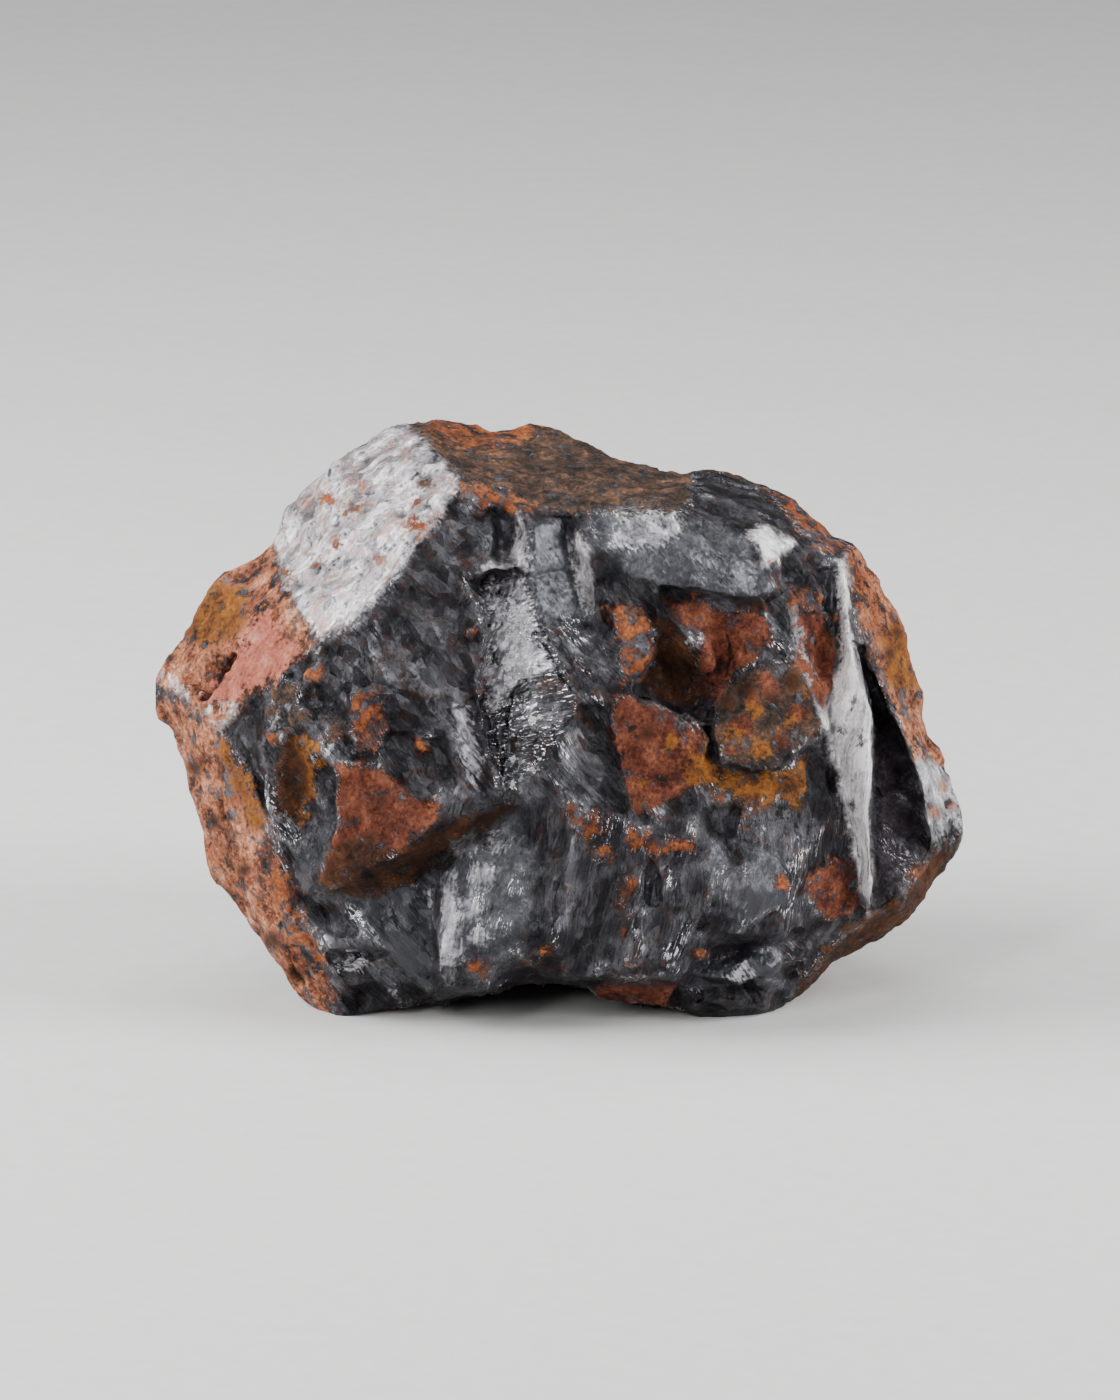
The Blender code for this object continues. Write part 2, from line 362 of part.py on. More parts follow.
def skin(mesh, chains, outward):
    """Stretches triangles over the chains of points inside the outline."""
    points = [Vector(p) for p in RIM]
    edges = []
    known = {key_of(p): i for i, p in enumerate(points)}
    for chain in chains:
        indices = []
        for point in chain:
            key = key_of(point)
            if key not in known:
                known[key] = len(points)
                points.append(point)
            indices.append(known[key])
        edges += list(zip(indices, indices[1:]))
    flat = [p.to_2d() for p in points]
    inside_constraints = 1
    made, _, triangles, origins, _, _ = delaunay_2d_cdt(
        flat, edges, [list(range(len(RIM)))], inside_constraints, 1e-4, True
    )
    crossing = [tuple(made[i]) for i, origin in enumerate(origins) if not origin]
    assert not crossing, f"creases cross at {crossing}"
    corners = [mesh.verts.new(p) for p in points]
    faces = []
    for triangle in triangles:
        ends = [origins[i][0] for i in triangle]
        if in_outline(sum((flat[i] for i in ends), Vector((0, 0))) / 3):
            faces.append(mesh.faces.new([corners[i] for i in ends]))
    bulge_chords(mesh, faces, set(corners[:len(RIM)]), outward)


def in_outline(place):
    """Whether a place of the view is inside the outline, by counting crossings to its right."""
    inside = False
    for (x1, y1, _), (x2, y2, _) in zip(RIM, RIM[1:] + RIM[:1]):
        if (y1 > place.y) != (y2 > place.y):
            if place.x < x1 + (place.y - y1) * (x2 - x1) / (y2 - y1):
                inside = not inside
    return inside


def bulge_chords(mesh, faces, rim, outward):
    """Splits each edge that crosses from rim to rim, and moves its middle off the other skin."""
    edges = {e for f in faces for e in f.edges if len(e.link_faces) == 2}
    chords = [e for e in edges if e.verts[0] in rim and e.verts[1] in rim]
    made = bmesh.ops.subdivide_edges(mesh, edges=chords, cuts=1, use_single_edge=True)
    for middle in made["geom_inner"]:
        if isinstance(middle, bmesh.types.BMVert):
            length = sum(e.calc_length() for e in middle.link_edges if e.other_vert(middle) in rim)
            middle.co.z += outward * CHORD_BULGE * length
    triangulate(mesh)


def triangulate(mesh):
    wide = [f for f in mesh.faces if len(f.verts) > 3]
    bmesh.ops.triangulate(mesh, faces=wide, quad_method="SHORT_EDGE", ngon_method="BEAUTY")


def split_long_edges(mesh, longest):
    """Halves edges until each is shorter than longest says at its middle."""
    while True:
        long = [e for e in mesh.edges if e.calc_length() > longest(e)]
        if not long:
            return
        bmesh.ops.subdivide_edges(mesh, edges=long, cuts=1, use_single_edge=True)
        triangulate(mesh)


def lumps(point, size):
    """Rounded unevenness from -1 to 1."""
    return noise.fractal((point + NOISE_SHIFT) / size, 0.8, 2.1, 3)


def scoops(point, size):
    """Shallow shell-like hollows with sharp rims between them, about 0 to 1."""
    place = (point + NOISE_SHIFT) / size
    _, seeds = noise.voronoi(place)
    depths = []
    for seed in seeds:
        tilt = noise.cell_vector(seed * 7.3) - Vector((0.5, 0.5, 0.5))
        away = place - seed
        depths.append(away.length_squared + 0.5 * tilt.dot(away))
    return min(depths)


def roughen(mesh, back_verts):
    """Moves each vertex along its normal by the relief, stronger behind the rim."""
    mesh.normal_update()
    moves = {}
    for vert in mesh.verts:
        small = LUMP_HEIGHT * lumps(vert.co, LUMP_SIZE)
        small += SCOOP_HEIGHT * (scoops(vert.co, SCOOP_SIZE) - 0.25)
        share = back_verts.get(vert, 0.0)
        large = BACK_LUMP_HEIGHT * lumps(vert.co, BACK_LUMP_SIZE)
        large += BACK_SCOOP_HEIGHT * (scoops(vert.co, BACK_SCOOP_SIZE) - 0.3)
        moves[vert] = vert.normal * (small + share * large)
    for vert, move in moves.items():
        vert.co += move


def back_shares(mesh, back_faces):
    """How far behind the rim each vertex is, from 0 at the rim to 1 a band's width in."""
    behind = {v for f in back_faces for v in f.verts}
    front = {v for f in mesh.faces if f not in back_faces for v in f.verts}
    rim = [v.co for v in behind & front]
    upright = Vector([axis.z for axis in view_axes()])
    shares = {}
    for vert in behind:
        nearest = min((vert.co - p).length for p in rim)
        height = vert.co.dot(upright)
        shares[vert] = min(1.0, nearest / RIM_BAND, max(0.0, height - SEAT_HEIGHT / MM) / RIM_BAND)
    return shares


def build_lump():
    across, up, out = view_axes()
    mesh = bmesh.new()
    side = mesh.faces.layers.int.new("behind")
    front_chains = [[Vector(p) for p in chain] for chain in FRONT_CREASES.values()]
    back_chains = [[as_seen(Vector(p)) for p in chain] for chain in BACK_CREASES.values()]
    skin(mesh, front_chains, 1.0)
    front = len(mesh.faces)
    skin(mesh, back_chains, -1.0)
    for face in mesh.faces[front:]:
        face[side] = 1
    rim = [v for v in mesh.verts if key_of(v.co) in {key_of(p) for p in RIM}]
    bmesh.ops.remove_doubles(mesh, verts=rim, dist=1e-4)
    front_edge, back_edge = FRONT_EDGE / MM, BACK_EDGE / MM
    split_long_edges(
        mesh, lambda e: front_edge if any(not f[side] for f in e.link_faces) else back_edge
    )
    bmesh.ops.recalc_face_normals(mesh, faces=mesh.faces)
    back_faces = {f for f in mesh.faces if f[side]}
    roughen(mesh, back_shares(mesh, back_faces))
    upright = Matrix((across, up, out)).transposed().to_4x4()
    mesh.transform(upright)
    wide = max(v.co.x for v in mesh.verts) - min(v.co.x for v in mesh.verts)
    mesh.transform(Matrix.Scale(LUMP_WIDTH / wide, 4))
    cut_seat(mesh)
    stand_on_origin(mesh)
    return mesh


def cut_seat(mesh):
    """Cuts the underside flat, so that the stone rests as it was worn."""
    everything = mesh.verts[:] + mesh.edges[:] + mesh.faces[:]
    bmesh.ops.bisect_plane(
        mesh, geom=everything, plane_co=(0, 0, SEAT_HEIGHT), plane_no=(0, 0, -1), clear_outer=True
    )
    loose = mesh.verts[:]
    bodies = []
    while loose:
        bodies.append(connected(loose[0]))
        loose = [v for v in loose if v not in bodies[-1]]
    stone = max(bodies, key=len)
    bmesh.ops.delete(mesh, geom=[v for v in mesh.verts if v not in stone], context="VERTS")
    bmesh.ops.holes_fill(mesh, edges=[e for e in mesh.edges if e.is_boundary], sides=0)
    triangulate(mesh)
    bmesh.ops.recalc_face_normals(mesh, faces=mesh.faces)


def connected(start):
    """The vertices that can be reached from this one along edges."""
    found = {start}
    waiting = [start]
    while waiting:
        for edge in waiting.pop().link_edges:
            found_more = [v for v in edge.verts if v not in found]
            found.update(found_more)
            waiting += found_more
    return found


def stand_on_origin(mesh):
    """Puts the middle of the stone's underside box at the origin."""
    corners = [v.co for v in mesh.verts]
    low = Vector([min(c[i] for c in corners) for i in range(3)])
    high = Vector([max(c[i] for c in corners) for i in range(3)])
    middle = (low + high) / 2
    middle.z = low.z
    mesh.transform(Matrix.Translation(-middle))


def stone_material():
    material = bpy.data.materials.new("hematite")
    material.use_nodes = True
    shader = material.node_tree.nodes["Principled BSDF"]
    shader.inputs["Base Color"].default_value = STONE_COLOR
    shader.inputs["Roughness"].default_value = STONE_ROUGHNESS
    shader.inputs["Metallic"].default_value = STONE_METALLIC
    return material


def main():
    for obj in list(bpy.data.objects):
        bpy.data.objects.remove(obj)
    mesh = build_lump()
    data = bpy.data.meshes.new(NODE_NAME)
    mesh.to_mesh(data)
    mesh.free()
    data.shade_smooth()
    data.set_sharp_from_angle(angle=math.radians(SHARP_DEG))
    data.materials.append(stone_material())
    lump = bpy.data.objects.new(NODE_NAME, data)
    bpy.context.scene.collection.objects.link(lump)


main()
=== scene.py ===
"""Looks for the hematite lump: its broken, streaked and rusted surface, a pale floor and soft light.

The stone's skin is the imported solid's own surface, cut into finer triangles and roughened into
chips, nodules and cracks. Where each finish lies is drawn as patches, in millimetres, as seen
from the front and slightly above: across to the right and up.
"""

import math

import bmesh
import bpy
import numpy as np
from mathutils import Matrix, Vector


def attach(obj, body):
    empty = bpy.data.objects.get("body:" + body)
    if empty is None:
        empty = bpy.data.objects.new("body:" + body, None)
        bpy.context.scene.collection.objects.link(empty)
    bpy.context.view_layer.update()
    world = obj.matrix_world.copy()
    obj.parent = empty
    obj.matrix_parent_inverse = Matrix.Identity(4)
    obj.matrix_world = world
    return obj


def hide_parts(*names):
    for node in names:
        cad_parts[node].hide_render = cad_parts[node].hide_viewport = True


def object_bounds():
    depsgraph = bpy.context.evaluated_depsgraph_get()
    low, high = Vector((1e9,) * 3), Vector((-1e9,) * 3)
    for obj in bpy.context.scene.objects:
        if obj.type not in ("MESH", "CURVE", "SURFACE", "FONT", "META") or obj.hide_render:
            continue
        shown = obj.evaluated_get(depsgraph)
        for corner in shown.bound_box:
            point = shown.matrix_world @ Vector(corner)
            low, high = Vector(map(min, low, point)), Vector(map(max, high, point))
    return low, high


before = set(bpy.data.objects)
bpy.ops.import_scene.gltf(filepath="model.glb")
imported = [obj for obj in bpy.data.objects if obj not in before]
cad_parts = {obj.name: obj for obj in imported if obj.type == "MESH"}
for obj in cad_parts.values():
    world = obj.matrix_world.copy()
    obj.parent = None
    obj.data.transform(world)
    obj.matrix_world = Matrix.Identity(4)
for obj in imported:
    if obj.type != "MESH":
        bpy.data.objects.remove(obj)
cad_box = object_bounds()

NODE = "ore_lump"

# The view that the patches are drawn in looks down by VIEW_DROP_DEG. The offset takes a point of
# the stone's frame to that view's own origin before it is turned.
VIEW_DROP_DEG = 15.0
OUTLINE_ORIGIN_MM = (-0.062, 16.854, 3.8)

# The camera: at the stone the picture is PICTURE_HEIGHT_MM tall, with its middle
# PICTURE_MIDDLE_UP_MM up in the view. The distance is in metres.
PICTURE_MIDDLE_UP_MM = 48.0
PICTURE_HEIGHT_MM = 210.0
CAMERA_DISTANCE = 2.5
SENSOR_MM = 36.0

# How the skin is cut: edges sharper than CREASE_DEG stay straight, and the longest edge allowed,
# in millimetres, is shorter on the near side and shortest within CRACK_REACH of a crack.
CREASE_DEG = 28.0
NEAR_GRAIN = 0.86
FAR_GRAIN = 1.8
CRACK_GRAIN = 0.4
CRACK_REACH = 1.0

# In metres: corners closer than JOIN_DISTANCE are one, and the relief grows from nothing over
# SEAT_RISE above the flat underside, so that the stone still rests flat.
JOIN_DISTANCE = 1e-6
SEAT_RISE = 0.0015

FINISHES = (
    "steel", "silver", "pale", "crust", "peach", "pink", "rust", "orange", "ochre", "umber_and_shade", "dark_metal_and_shade",
)
GRAINS = ("sloping", "upright", "ripple", "calm")

# The smooth dark faces beside the strip's head.
PANE = [(-4.5, 75), (0.6, 75), (2.6, 66), (4, 60), (-0.8, 60.6), (-3.4, 60), (-4.6, 67)]
WINDOW = [(-10.6, 75), (-8, 75), (-7.9, 72.6), (-9, 70.2), (-10.2, 70)]

# Patches of each finish and grain on the side that faces the viewer, as (across, up) in
# millimetres.
PATCHES = {
    "steel": {
        "fan": [
            (20.5, 30), (23.6, 27), (26.4, 22.5), (27, 18.5), (25.6, 17), (24, 20.5), (22, 25),
            (19.6, 28.5),
        ],
        "pit_ridge": [
            (-36.5, 36), (-35, 33), (-33, 28), (-35.5, 23), (-38.5, 21), (-37.5, 26), (-36, 31),
        ],
        "slab": [
            (5, 75.5), (19, 75), (24, 74), (28, 72), (31.5, 67), (31.8, 64.2), (25, 63.4), (18, 64.5),
            (11, 66), (7, 67.6), (5.6, 71),
        ],
        "pane": PANE,
        "window": WINDOW,
        "corner": [
            (-18.4, 24.5), (-17.8, 14), (-18.4, 4.5), (-12, 4.8), (-8, 8), (-5.6, 13), (-4.4, 19),
            (-4.6, 26), (-6.6, 32.4), (-13, 30.2),
        ],
    },
    # Silvery faces: partly the stone's own silver metal, partly painted sheen where faces turn to the
    # light.
    "silver": {
        "slab_head": [
            (-43.5, 72), (-41, 64.5), (-38.6, 60.5), (-35.5, 57.2), (-31, 59.6), (-27.6, 62.6),
            (-24.5, 66), (-21.8, 70.5), (-19, 73.5), (-16.8, 76.5), (-14.8, 80), (-16, 82.5),
            (-19, 86), (-21.5, 88.2), (-24, 90.5), (-31, 86.5), (-35, 83.8), (-39, 80), (-42, 75),
        ],
        "strip": [
            (-11.4, 64.8), (-10.8, 61), (-10.8, 57), (-11.2, 53), (-11.5, 49), (-10.5, 46),
            (-8.5, 47), (-5.5, 50.5), (-3, 52), (-1.2, 53.5), (-3, 56.8), (-4, 60), (-4.8, 64),
            (-5.5, 66.2), (-8, 66.3),
        ],
        "right_edge": [
            (52.6, 39), (53.6, 34), (54.2, 28.5), (55.6, 25.6), (60.8, 29), (59.8, 34), (56.8, 39),
        ],
        "steel_head": [
            (7.5, 70.5), (9, 75.5), (13, 76), (18.5, 75.3), (17, 72), (14, 70.5), (10, 70.5),
        ],
        "flute": [
            (-16.2, 46.5), (-14.8, 41), (-13.6, 36), (-12.2, 35), (-11.6, 38.5), (-12.6, 43),
            (-14, 47),
        ],
        "corner_edge": [
            (-18.2, 23), (-17.6, 14), (-18.2, 4.8), (-15.8, 5), (-14.6, 10), (-15, 17), (-16, 23),
        ],
        "glass_facet": [(24.5, 6.3), (27.6, 9.4), (28.7, 6)],
        "heel_chip": [(-33.5, 7.3), (-29.5, 7.6), (-28.6, 9.2), (-30.2, 10), (-33, 8.6)],
    },
    # Pale faces: near-white colour painted where the pillar, fin and chips catch the light, a painted
    # sheen over the stone's silvery metal.
    "pale": {
        "strip_head": [
            (-6, 75.8), (-5, 72), (-5.1, 69), (-5.3, 67.4), (-9, 67.2), (-12.6, 65.6),
            (-11.2, 68), (-9, 69.5), (-7.5, 71.5), (-6.8, 74.5),
        ],
        "fin": [
            (2.2, 74.2), (4.3, 69), (5.2, 66), (5.1, 62.2), (4.6, 59.6), (3.2, 63), (2.4, 67),
            (1.4, 71.5),
        ],
        "shelf_chip": [
            (27.8, 73.5), (29.5, 70.5), (30.6, 67.6), (32, 68.8), (34.6, 70.3), (35.2, 72),
            (33, 73.3), (30.5, 74.4),
        ],
        "pillar": [
            (41.3, 69), (41.4, 65), (41.3, 62), (41.4, 59), (41.8, 54.5), (40.2, 49.5), (38.9, 45),
            (40, 41), (41.2, 37), (41.8, 33), (42.7, 30), (43.5, 26), (44.2, 22), (45, 17.5),
            (46, 15), (47.1, 19), (47.2, 23), (47, 26), (46.4, 29), (46.2, 33), (46.9, 36),
            (46.8, 40), (47.2, 44.5), (46.6, 47), (45, 50.6), (43.8, 55), (43.2, 60), (43, 65),
            (42.7, 70),
        ],
        "knee": [
            (-58.5, 50), (-54, 47), (-50.5, 43.5), (-48, 46.5), (-47, 48.3), (-50, 48), (-53.5, 50),
            (-56.5, 53.5), (-59.5, 54.5), (-61, 51),
        ],
        "thin_ridge": [
            (34, 62), (34.7, 57), (35.8, 52), (37.6, 47.5), (38.8, 43.8), (40.4, 43.8), (38.8, 48),
            (37, 52.6), (35.8, 57), (35.2, 62),
        ],
    },
    "crust": {
        "top": [
            (-24, 90), (-20.5, 86.5), (-16, 82.5), (-14.6, 80.2), (-9, 79), (-4, 76.5), (2, 75.7),
            (9, 76.4), (17, 75.7), (19.5, 77.6), (19.4, 81), (21.5, 85), (13, 85), (7, 87),
            (1.5, 90), (-3, 91), (-13, 91), (-18.5, 92),
        ],
        "brown_plate": [
            (22.7, 47.5), (23.2, 42), (24.5, 39), (28, 38), (31.5, 37.9), (34.5, 40), (39, 44.2),
            (38, 49), (35.5, 53), (31, 54), (26.5, 52),
        ],
        "band": [
            (57.6, 26.4), (53.4, 22.4), (49.8, 17.8), (45.4, 15.4), (41, 12), (36.6, 7), (33, 2),
            (38.5, 5), (42.5, 8), (48, 11), (54, 15), (61, 23), (61, 28),
        ],
    },
    "peach": {
        "left_face": [
            (-62, 49), (-56, 47.8), (-51, 44), (-47.4, 38), (-44.8, 33), (-42.2, 25), (-39, 18),
            (-35.5, 10), (-33.6, 3), (-33.5, -1), (-40, 0), (-46, 8), (-52, 17), (-56, 25.5),
            (-58, 34), (-61, 43.5),
        ],
        "slab_foot": [
            (-62, 50.5), (-57, 61), (-48, 70), (-43, 73), (-41, 64.5), (-38.6, 60.5), (-36, 57),
            (-43, 50.2), (-51, 44), (-57, 48.8),
        ],
        "right_outer": [
            (42.6, 69.6), (43.8, 64), (45, 59.5), (47.2, 52), (50.9, 44), (53, 39.6), (56, 38.4),
            (59.6, 38.2), (57.4, 45), (55, 53), (51, 63.8), (48, 68.5), (45, 73),
        ],
    },
    "pink": {
        "slab": [
            (-54, 48.2), (-50, 47.2), (-46, 49), (-42, 51.3), (-38.4, 55), (-41, 58), (-43, 61.5),
            (-46, 60.5), (-47.5, 56), (-51, 51.5),
        ],
    },
    "rust": {
        "red_face": [
            (-33, 38), (-28, 38.5), (-22, 34.5), (-18, 31), (-21, 27.5), (-27, 24), (-31, 20.8),
            (-36, 20.6), (-35, 24), (-33.5, 30),
        ],
        "plate": [
            (8, 48.8), (13, 48), (18, 45.5), (21.5, 42.5), (22.5, 38), (20, 35.5), (14.5, 32),
            (10.8, 30.5), (9.8, 34), (8.7, 39), (7.6, 44),
        ],
        "hollow_wall": [
            (16, 63), (20, 63.2), (24, 61.5), (30.5, 60.8), (31.8, 57.5), (30, 54.5), (26, 52),
            (24, 48), (21.5, 47), (19, 50.5), (21.5, 56), (17.5, 60),
        ],
        "triangle": [
            (35, 61.5), (39, 61), (41, 57), (41.8, 54), (40.4, 50), (39, 46.5), (36.5, 50.5),
            (35, 55),
        ],
        "under_hem": [(4, 3.4), (16, 2.2), (18, 6.4), (7, 6.6)],
        "knuckle": [(36.5, 20.5), (41, 24.5), (44, 24), (44.5, 17), (41, 15), (37.5, 16.5)],
    },
    "orange": {
        "pocket": [
            (7.8, 61.8), (12.5, 62), (13.6, 58), (14, 54), (12, 50.4), (9.4, 50.4), (9, 54),
            (8.1, 58),
        ],
        "right_rim": [
            (30.5, 79.5), (36, 78.5), (39, 76), (43.5, 73), (43, 70), (39.5, 70.6), (36, 72.8),
            (34, 75.8),
        ],
        "shelf_under": [(30.3, 67.6), (31, 65.2), (32.4, 65), (33.4, 68.8), (31.5, 69)],
        "slot_edge": [
            (43.4, 69), (44.2, 64), (45.2, 60), (47, 56.6), (48.6, 56.5), (46.6, 62), (45, 67.5),
        ],
        "brow_left": [
            (-14.5, 79.8), (-8.5, 78.8), (-4, 76.8), (-3.4, 75), (-7, 75.6), (-10.5, 76.6),
            (-15, 76),
        ],
        "top_left_rim": [
            (-22, 90), (-17, 91), (-9, 90.5), (-2, 89.6), (-5, 87), (-10, 85.4), (-15, 85.8),
            (-19, 87),
        ],
        "face_pocket": [
            (-30.4, 49.5), (-26.6, 49.5), (-25.4, 44.5), (-27.4, 40), (-30.6, 40.4), (-31, 45),
        ],
        "left_lower": [
            (-42.2, 25), (-39, 18), (-35.5, 10), (-33.8, 4), (-36.5, 6), (-40, 13), (-43.5, 21),
        ],
        "thin_ridge_head": [(34.6, 65), (38, 64.5), (39.5, 62.5), (36.5, 61), (34.8, 62)],
    },
    "ochre": {
        "below_plate": [
            (22, 36.2), (26, 37.2), (33, 37), (36.4, 39.2), (36.8, 34.8), (35, 32.8), (31.5, 33.2),
            (30, 31.8), (28.2, 30.8), (26.5, 33), (24, 34.5),
        ],
        "plate_right": [(17.5, 38), (21.5, 42), (22.4, 36.8), (20.4, 35.2)],
        "pit": [
            (-41, 42), (-38, 42.6), (-35.8, 38), (-36, 33.5), (-38, 30.5), (-41.6, 31), (-42.2, 36),
        ],
        "slab_yellow": [(-57, 58), (-52, 65), (-48, 64.5), (-46.5, 60), (-49, 57.5), (-53, 56)],
        "left_edge": [
            (-49.5, 42), (-47.6, 37.5), (-45.4, 33), (-44, 29), (-45.6, 29.5), (-48, 34.5),
            (-51, 41),
        ],
        "right_pits": [(48, 58), (50.5, 60), (52.4, 55), (53.4, 50), (50.4, 49), (48.4, 52)],
    },
    # Painted shade under the ledge, on the hollow's floor and in the pit's middle; the red face's foot
    # and the low band are also darkened.
    "umber_and_shade": {
        "ledge_under": [
            (-36, 19.2), (-30, 18.4), (-22, 20.5), (-16.5, 24.9), (-10.5, 29.5), (-6, 32),
            (-10, 31.8), (-16, 30.1), (-21, 27.1), (-26.5, 23.8), (-30.5, 20.5),
        ],
        "hollow_floor": [
            (13.4, 60), (16.4, 61), (19, 57), (21, 53.4), (22.4, 49), (20.5, 46.6), (16, 48), (13, 50),
            (14, 54),
        ],
        "pit_middle": [(-42.4, 42), (-39, 41.6), (-37.4, 38), (-37.6, 34), (-38.8, 31), (-42.4, 31)],
        "red_foot": [(-36, 20), (-30, 20.6), (-25, 24.6), (-28, 28.5), (-33, 26.5)],
        "band": [
            (57, 26), (49.8, 17.8), (45, 15), (40.4, 11.4), (36.6, 7), (34, 3), (39, 5), (47, 10),
            (54, 15.4), (61, 24),
        ],
    },
    # Painted shade: the recess, the notch and the hem's undercut made near black.
    "dark_metal_and_shade": {
        "recess": [
            (47.2, 48), (49.5, 44.8), (51, 41.4), (53.4, 35.6), (54.4, 28), (51, 21), (47.6, 18.5),
            (47.4, 25), (46.6, 31), (47, 41),
        ],
        "recess_head": [(44.4, 56), (46.7, 51.4), (48.6, 47), (47, 45), (45.4, 50)],
        "notch": [(-12.8, 65.6), (-9.6, 66.4), (-5.8, 66.9), (-5.6, 67.2), (-9.6, 67.2), (-12.6, 66.4)],
        "hem": [
            (-8.3, 7), (0, 7), (17, 6.6), (24, 11), (33, 12.6), (34.4, 12.6), (24, 9.4),
            (17.4, 5.6), (0, 6), (-8.3, 5),
        ],
    },
    "sloping": {
        "slab": [
            (-62, 49), (-57, 61), (-48, 70), (-42, 76), (-35, 84), (-24, 91), (-19, 86), (-14.6, 80.2),
            (-19, 73.5), (-24.5, 66), (-31, 59.6), (-43, 50.2), (-51, 44), (-56, 47.8),
        ],
    },
    "upright": {
        "lower_front": [
            (-19, 33), (-8, 34), (6, 31), (12, 30), (20, 31), (44, 40), (45, 14), (35, 12),
            (18, 6), (-19, 3),
        ],
        "pillar": [(40, 70), (38.5, 45), (45, 14), (48, 18), (47, 45), (44.5, 58), (43.5, 70)],
    },
    "ripple": {
        "strip": [(-11.6, 66), (-12, 44), (-9, 34), (-4, 36), (3, 47), (0, 54), (-5, 67)],
    },
    "calm": {
        "steel": [
            (9, 70), (17, 73.5), (22.5, 72), (27, 70), (31, 66.8), (31.5, 64.4), (25, 63.6),
            (15, 65.2), (9, 67),
        ],
        "pane": PANE,
        "window": WINDOW,
        "low_plane": [(-36, 19), (-19.4, 20.6), (-19.2, 4), (-24, 8), (-28, 14), (-30, 17)],
        "chip": [(28, 73.5), (30.6, 67.6), (35, 71), (31, 74.4)],
        "pillar": [
            (40, 69), (40.3, 59), (38.7, 45), (41.2, 37), (43.5, 26), (46, 15), (46.4, 29),
            (46.8, 47), (43.8, 60), (43, 70),
        ],
        "under_hem": [(18, 6.8), (25, 10), (33, 11), (33, 7), (24, 5.4), (19, 4.8)],
        "fan_right": [(27.5, 27), (33, 25), (34, 18), (27.5, 15)],
    },
}

# Small spots of a finish, as (across, up, radius) in millimetres.
SPOTS = {
    # Painted shade in small holes.
    "dark_metal_and_shade": [(43.6, 32.4, 0.6), (45.4, 37, 0.4), (12.6, 57.5, 0.6)],
    "crust": [(-41, 49, 2.0), (-39, 45.5, 1.6), (-43, 46, 1.2), (-33, 43.5, 1.4), (-20, 80.4, 1.2)],
    "peach": [(57.5, 35.5, 1.0), (56, 31, 0.9), (59, 31.5, 0.8), (-29, 80, 0.6), (-27, 69, 0.6)],
    # Silver spots on the corner: painted sheen brightening it, over the stone's silvery metal.
    "silver": [(-14.5, 27, 2.2), (-11.5, 22, 2.0), (-13.2, 17, 1.8), (-12, 12.6, 1.6), (-9.5, 27, 1.6)],
    "rust": [
        (27, 44, 1.6), (31, 50, 1.8), (35.4, 46, 1.5), (33, 41.5, 1.3), (25.4, 41, 1.2),
        (28.4, 48.6, 1.0),
    ],
    "orange": [
        (4.5, 29, 1.9), (1.8, 31.5, 1.1), (2.6, 30.4, 1.2), (6, 25.5, 1.4), (11, 27.4, 1.6),
        (14, 26.9, 1.7), (16.6, 26.5, 1.2), (18.6, 26.3, 1.4), (10, 19.5, 1.9), (-12.6, 8, 1.9),
        (-3.5, 9.5, 1.1), (10.8, 9.5, 0.9), (21.2, 10, 0.8), (37, 62.5, 1.3), (36, 57, 0.9),
        (-28, 43, 1.2), (-42.5, 42.5, 1.4), (-36.5, 52, 1.2), (-20.5, 41.5, 1.2), (-18.5, 32.8, 0.8),
        (-20.5, 74, 1.9), (-21.4, 77.5, 0.9), (-36, 68, 1.1), (-34.8, 77.5, 1.1), (-33, 71, 0.8),
        (-11, 50, 0.8), (-13.5, 58, 0.6), (9.5, 14, 0.8), (24, 33.5, 1.0), (33, 21, 0.9),
        (53.4, 22.4, 1.3), (46, 15.6, 0.9), (40.6, 60, 0.9), (40.4, 56.6, 0.8),
        (-54, 58, 1.6), (-45.5, 62.5, 1.5), (-50, 62, 1.3), (-49, 34, 1.6), (-51, 25, 1.3),
    ],
    "ochre": [
        (26, 42.5, 0.9), (29, 46.5, 0.8), (33.6, 44.6, 0.9), (36, 48.4, 0.7), (30, 40.4, 1.0),
        (-31, 76, 1.0), (-41, 66.5, 1.0), (12.5, 36, 1.2), (16.5, 41.5, 1.1), (-37.4, 40, 1.3),
    ],
    "umber_and_shade": [
        (27.6, 49.8, 1.3), (31.4, 47.6, 1.1), (34.4, 50.6, 1.2), (25, 47.4, 0.9), (32.4, 41.6, 0.9),
        (13, 43, 0.7), (11.4, 38.4, 0.6), (17.6, 31.6, 0.9), (-26.4, 33, 0.8), (-30.4, 30, 0.9),
        (-54.4, 38, 1.3), (-51.5, 30, 1.2), (-50, 18.6, 1.3), (-47, 22.6, 1.0), (-43, 12, 1.3),
        (-39.6, 7, 1.1), (-56, 31, 1.0), (-45, 9, 1.1), (49, 55, 0.9), (50.2, 58, 0.8),
    ],
}

# Cracks and thin dark joints, each as (width, depth) and its line, in millimetres.
CRACKS = [
    (0.45, 1.1, [(-53.3, 48.2), (-51.5, 50.2), (-49.6, 52.6), (-48.4, 55)]),
    (0.35, 0.6, [(-4.9, 50.9), (-7, 49.2), (-8, 45.4), (-8.3, 41), (-8.5, 37)]),
    (0.3, 0.4, [(-3.5, 58), (-1.6, 54.6), (-0.8, 52.4), (1.5, 49.4)]),
    (0.3, 0.4, [(20, 14), (21.2, 13.9), (22.2, 14.6)]),
    (0.35, 0.6, [(-50.6, 33), (-50.2, 31), (-49.6, 29.4)]),
    (0.35, 0.5, [(-40.6, 9.6), (-39.8, 7.6), (-38.6, 5.4)]),
    (0.3, 0.5, [(24.8, 57.6), (25.6, 54.6), (24.8, 51.4)]),
    (0.25, 0.4, [(47.8, 33.8), (50.5, 34.3), (53, 34.2)]),
]


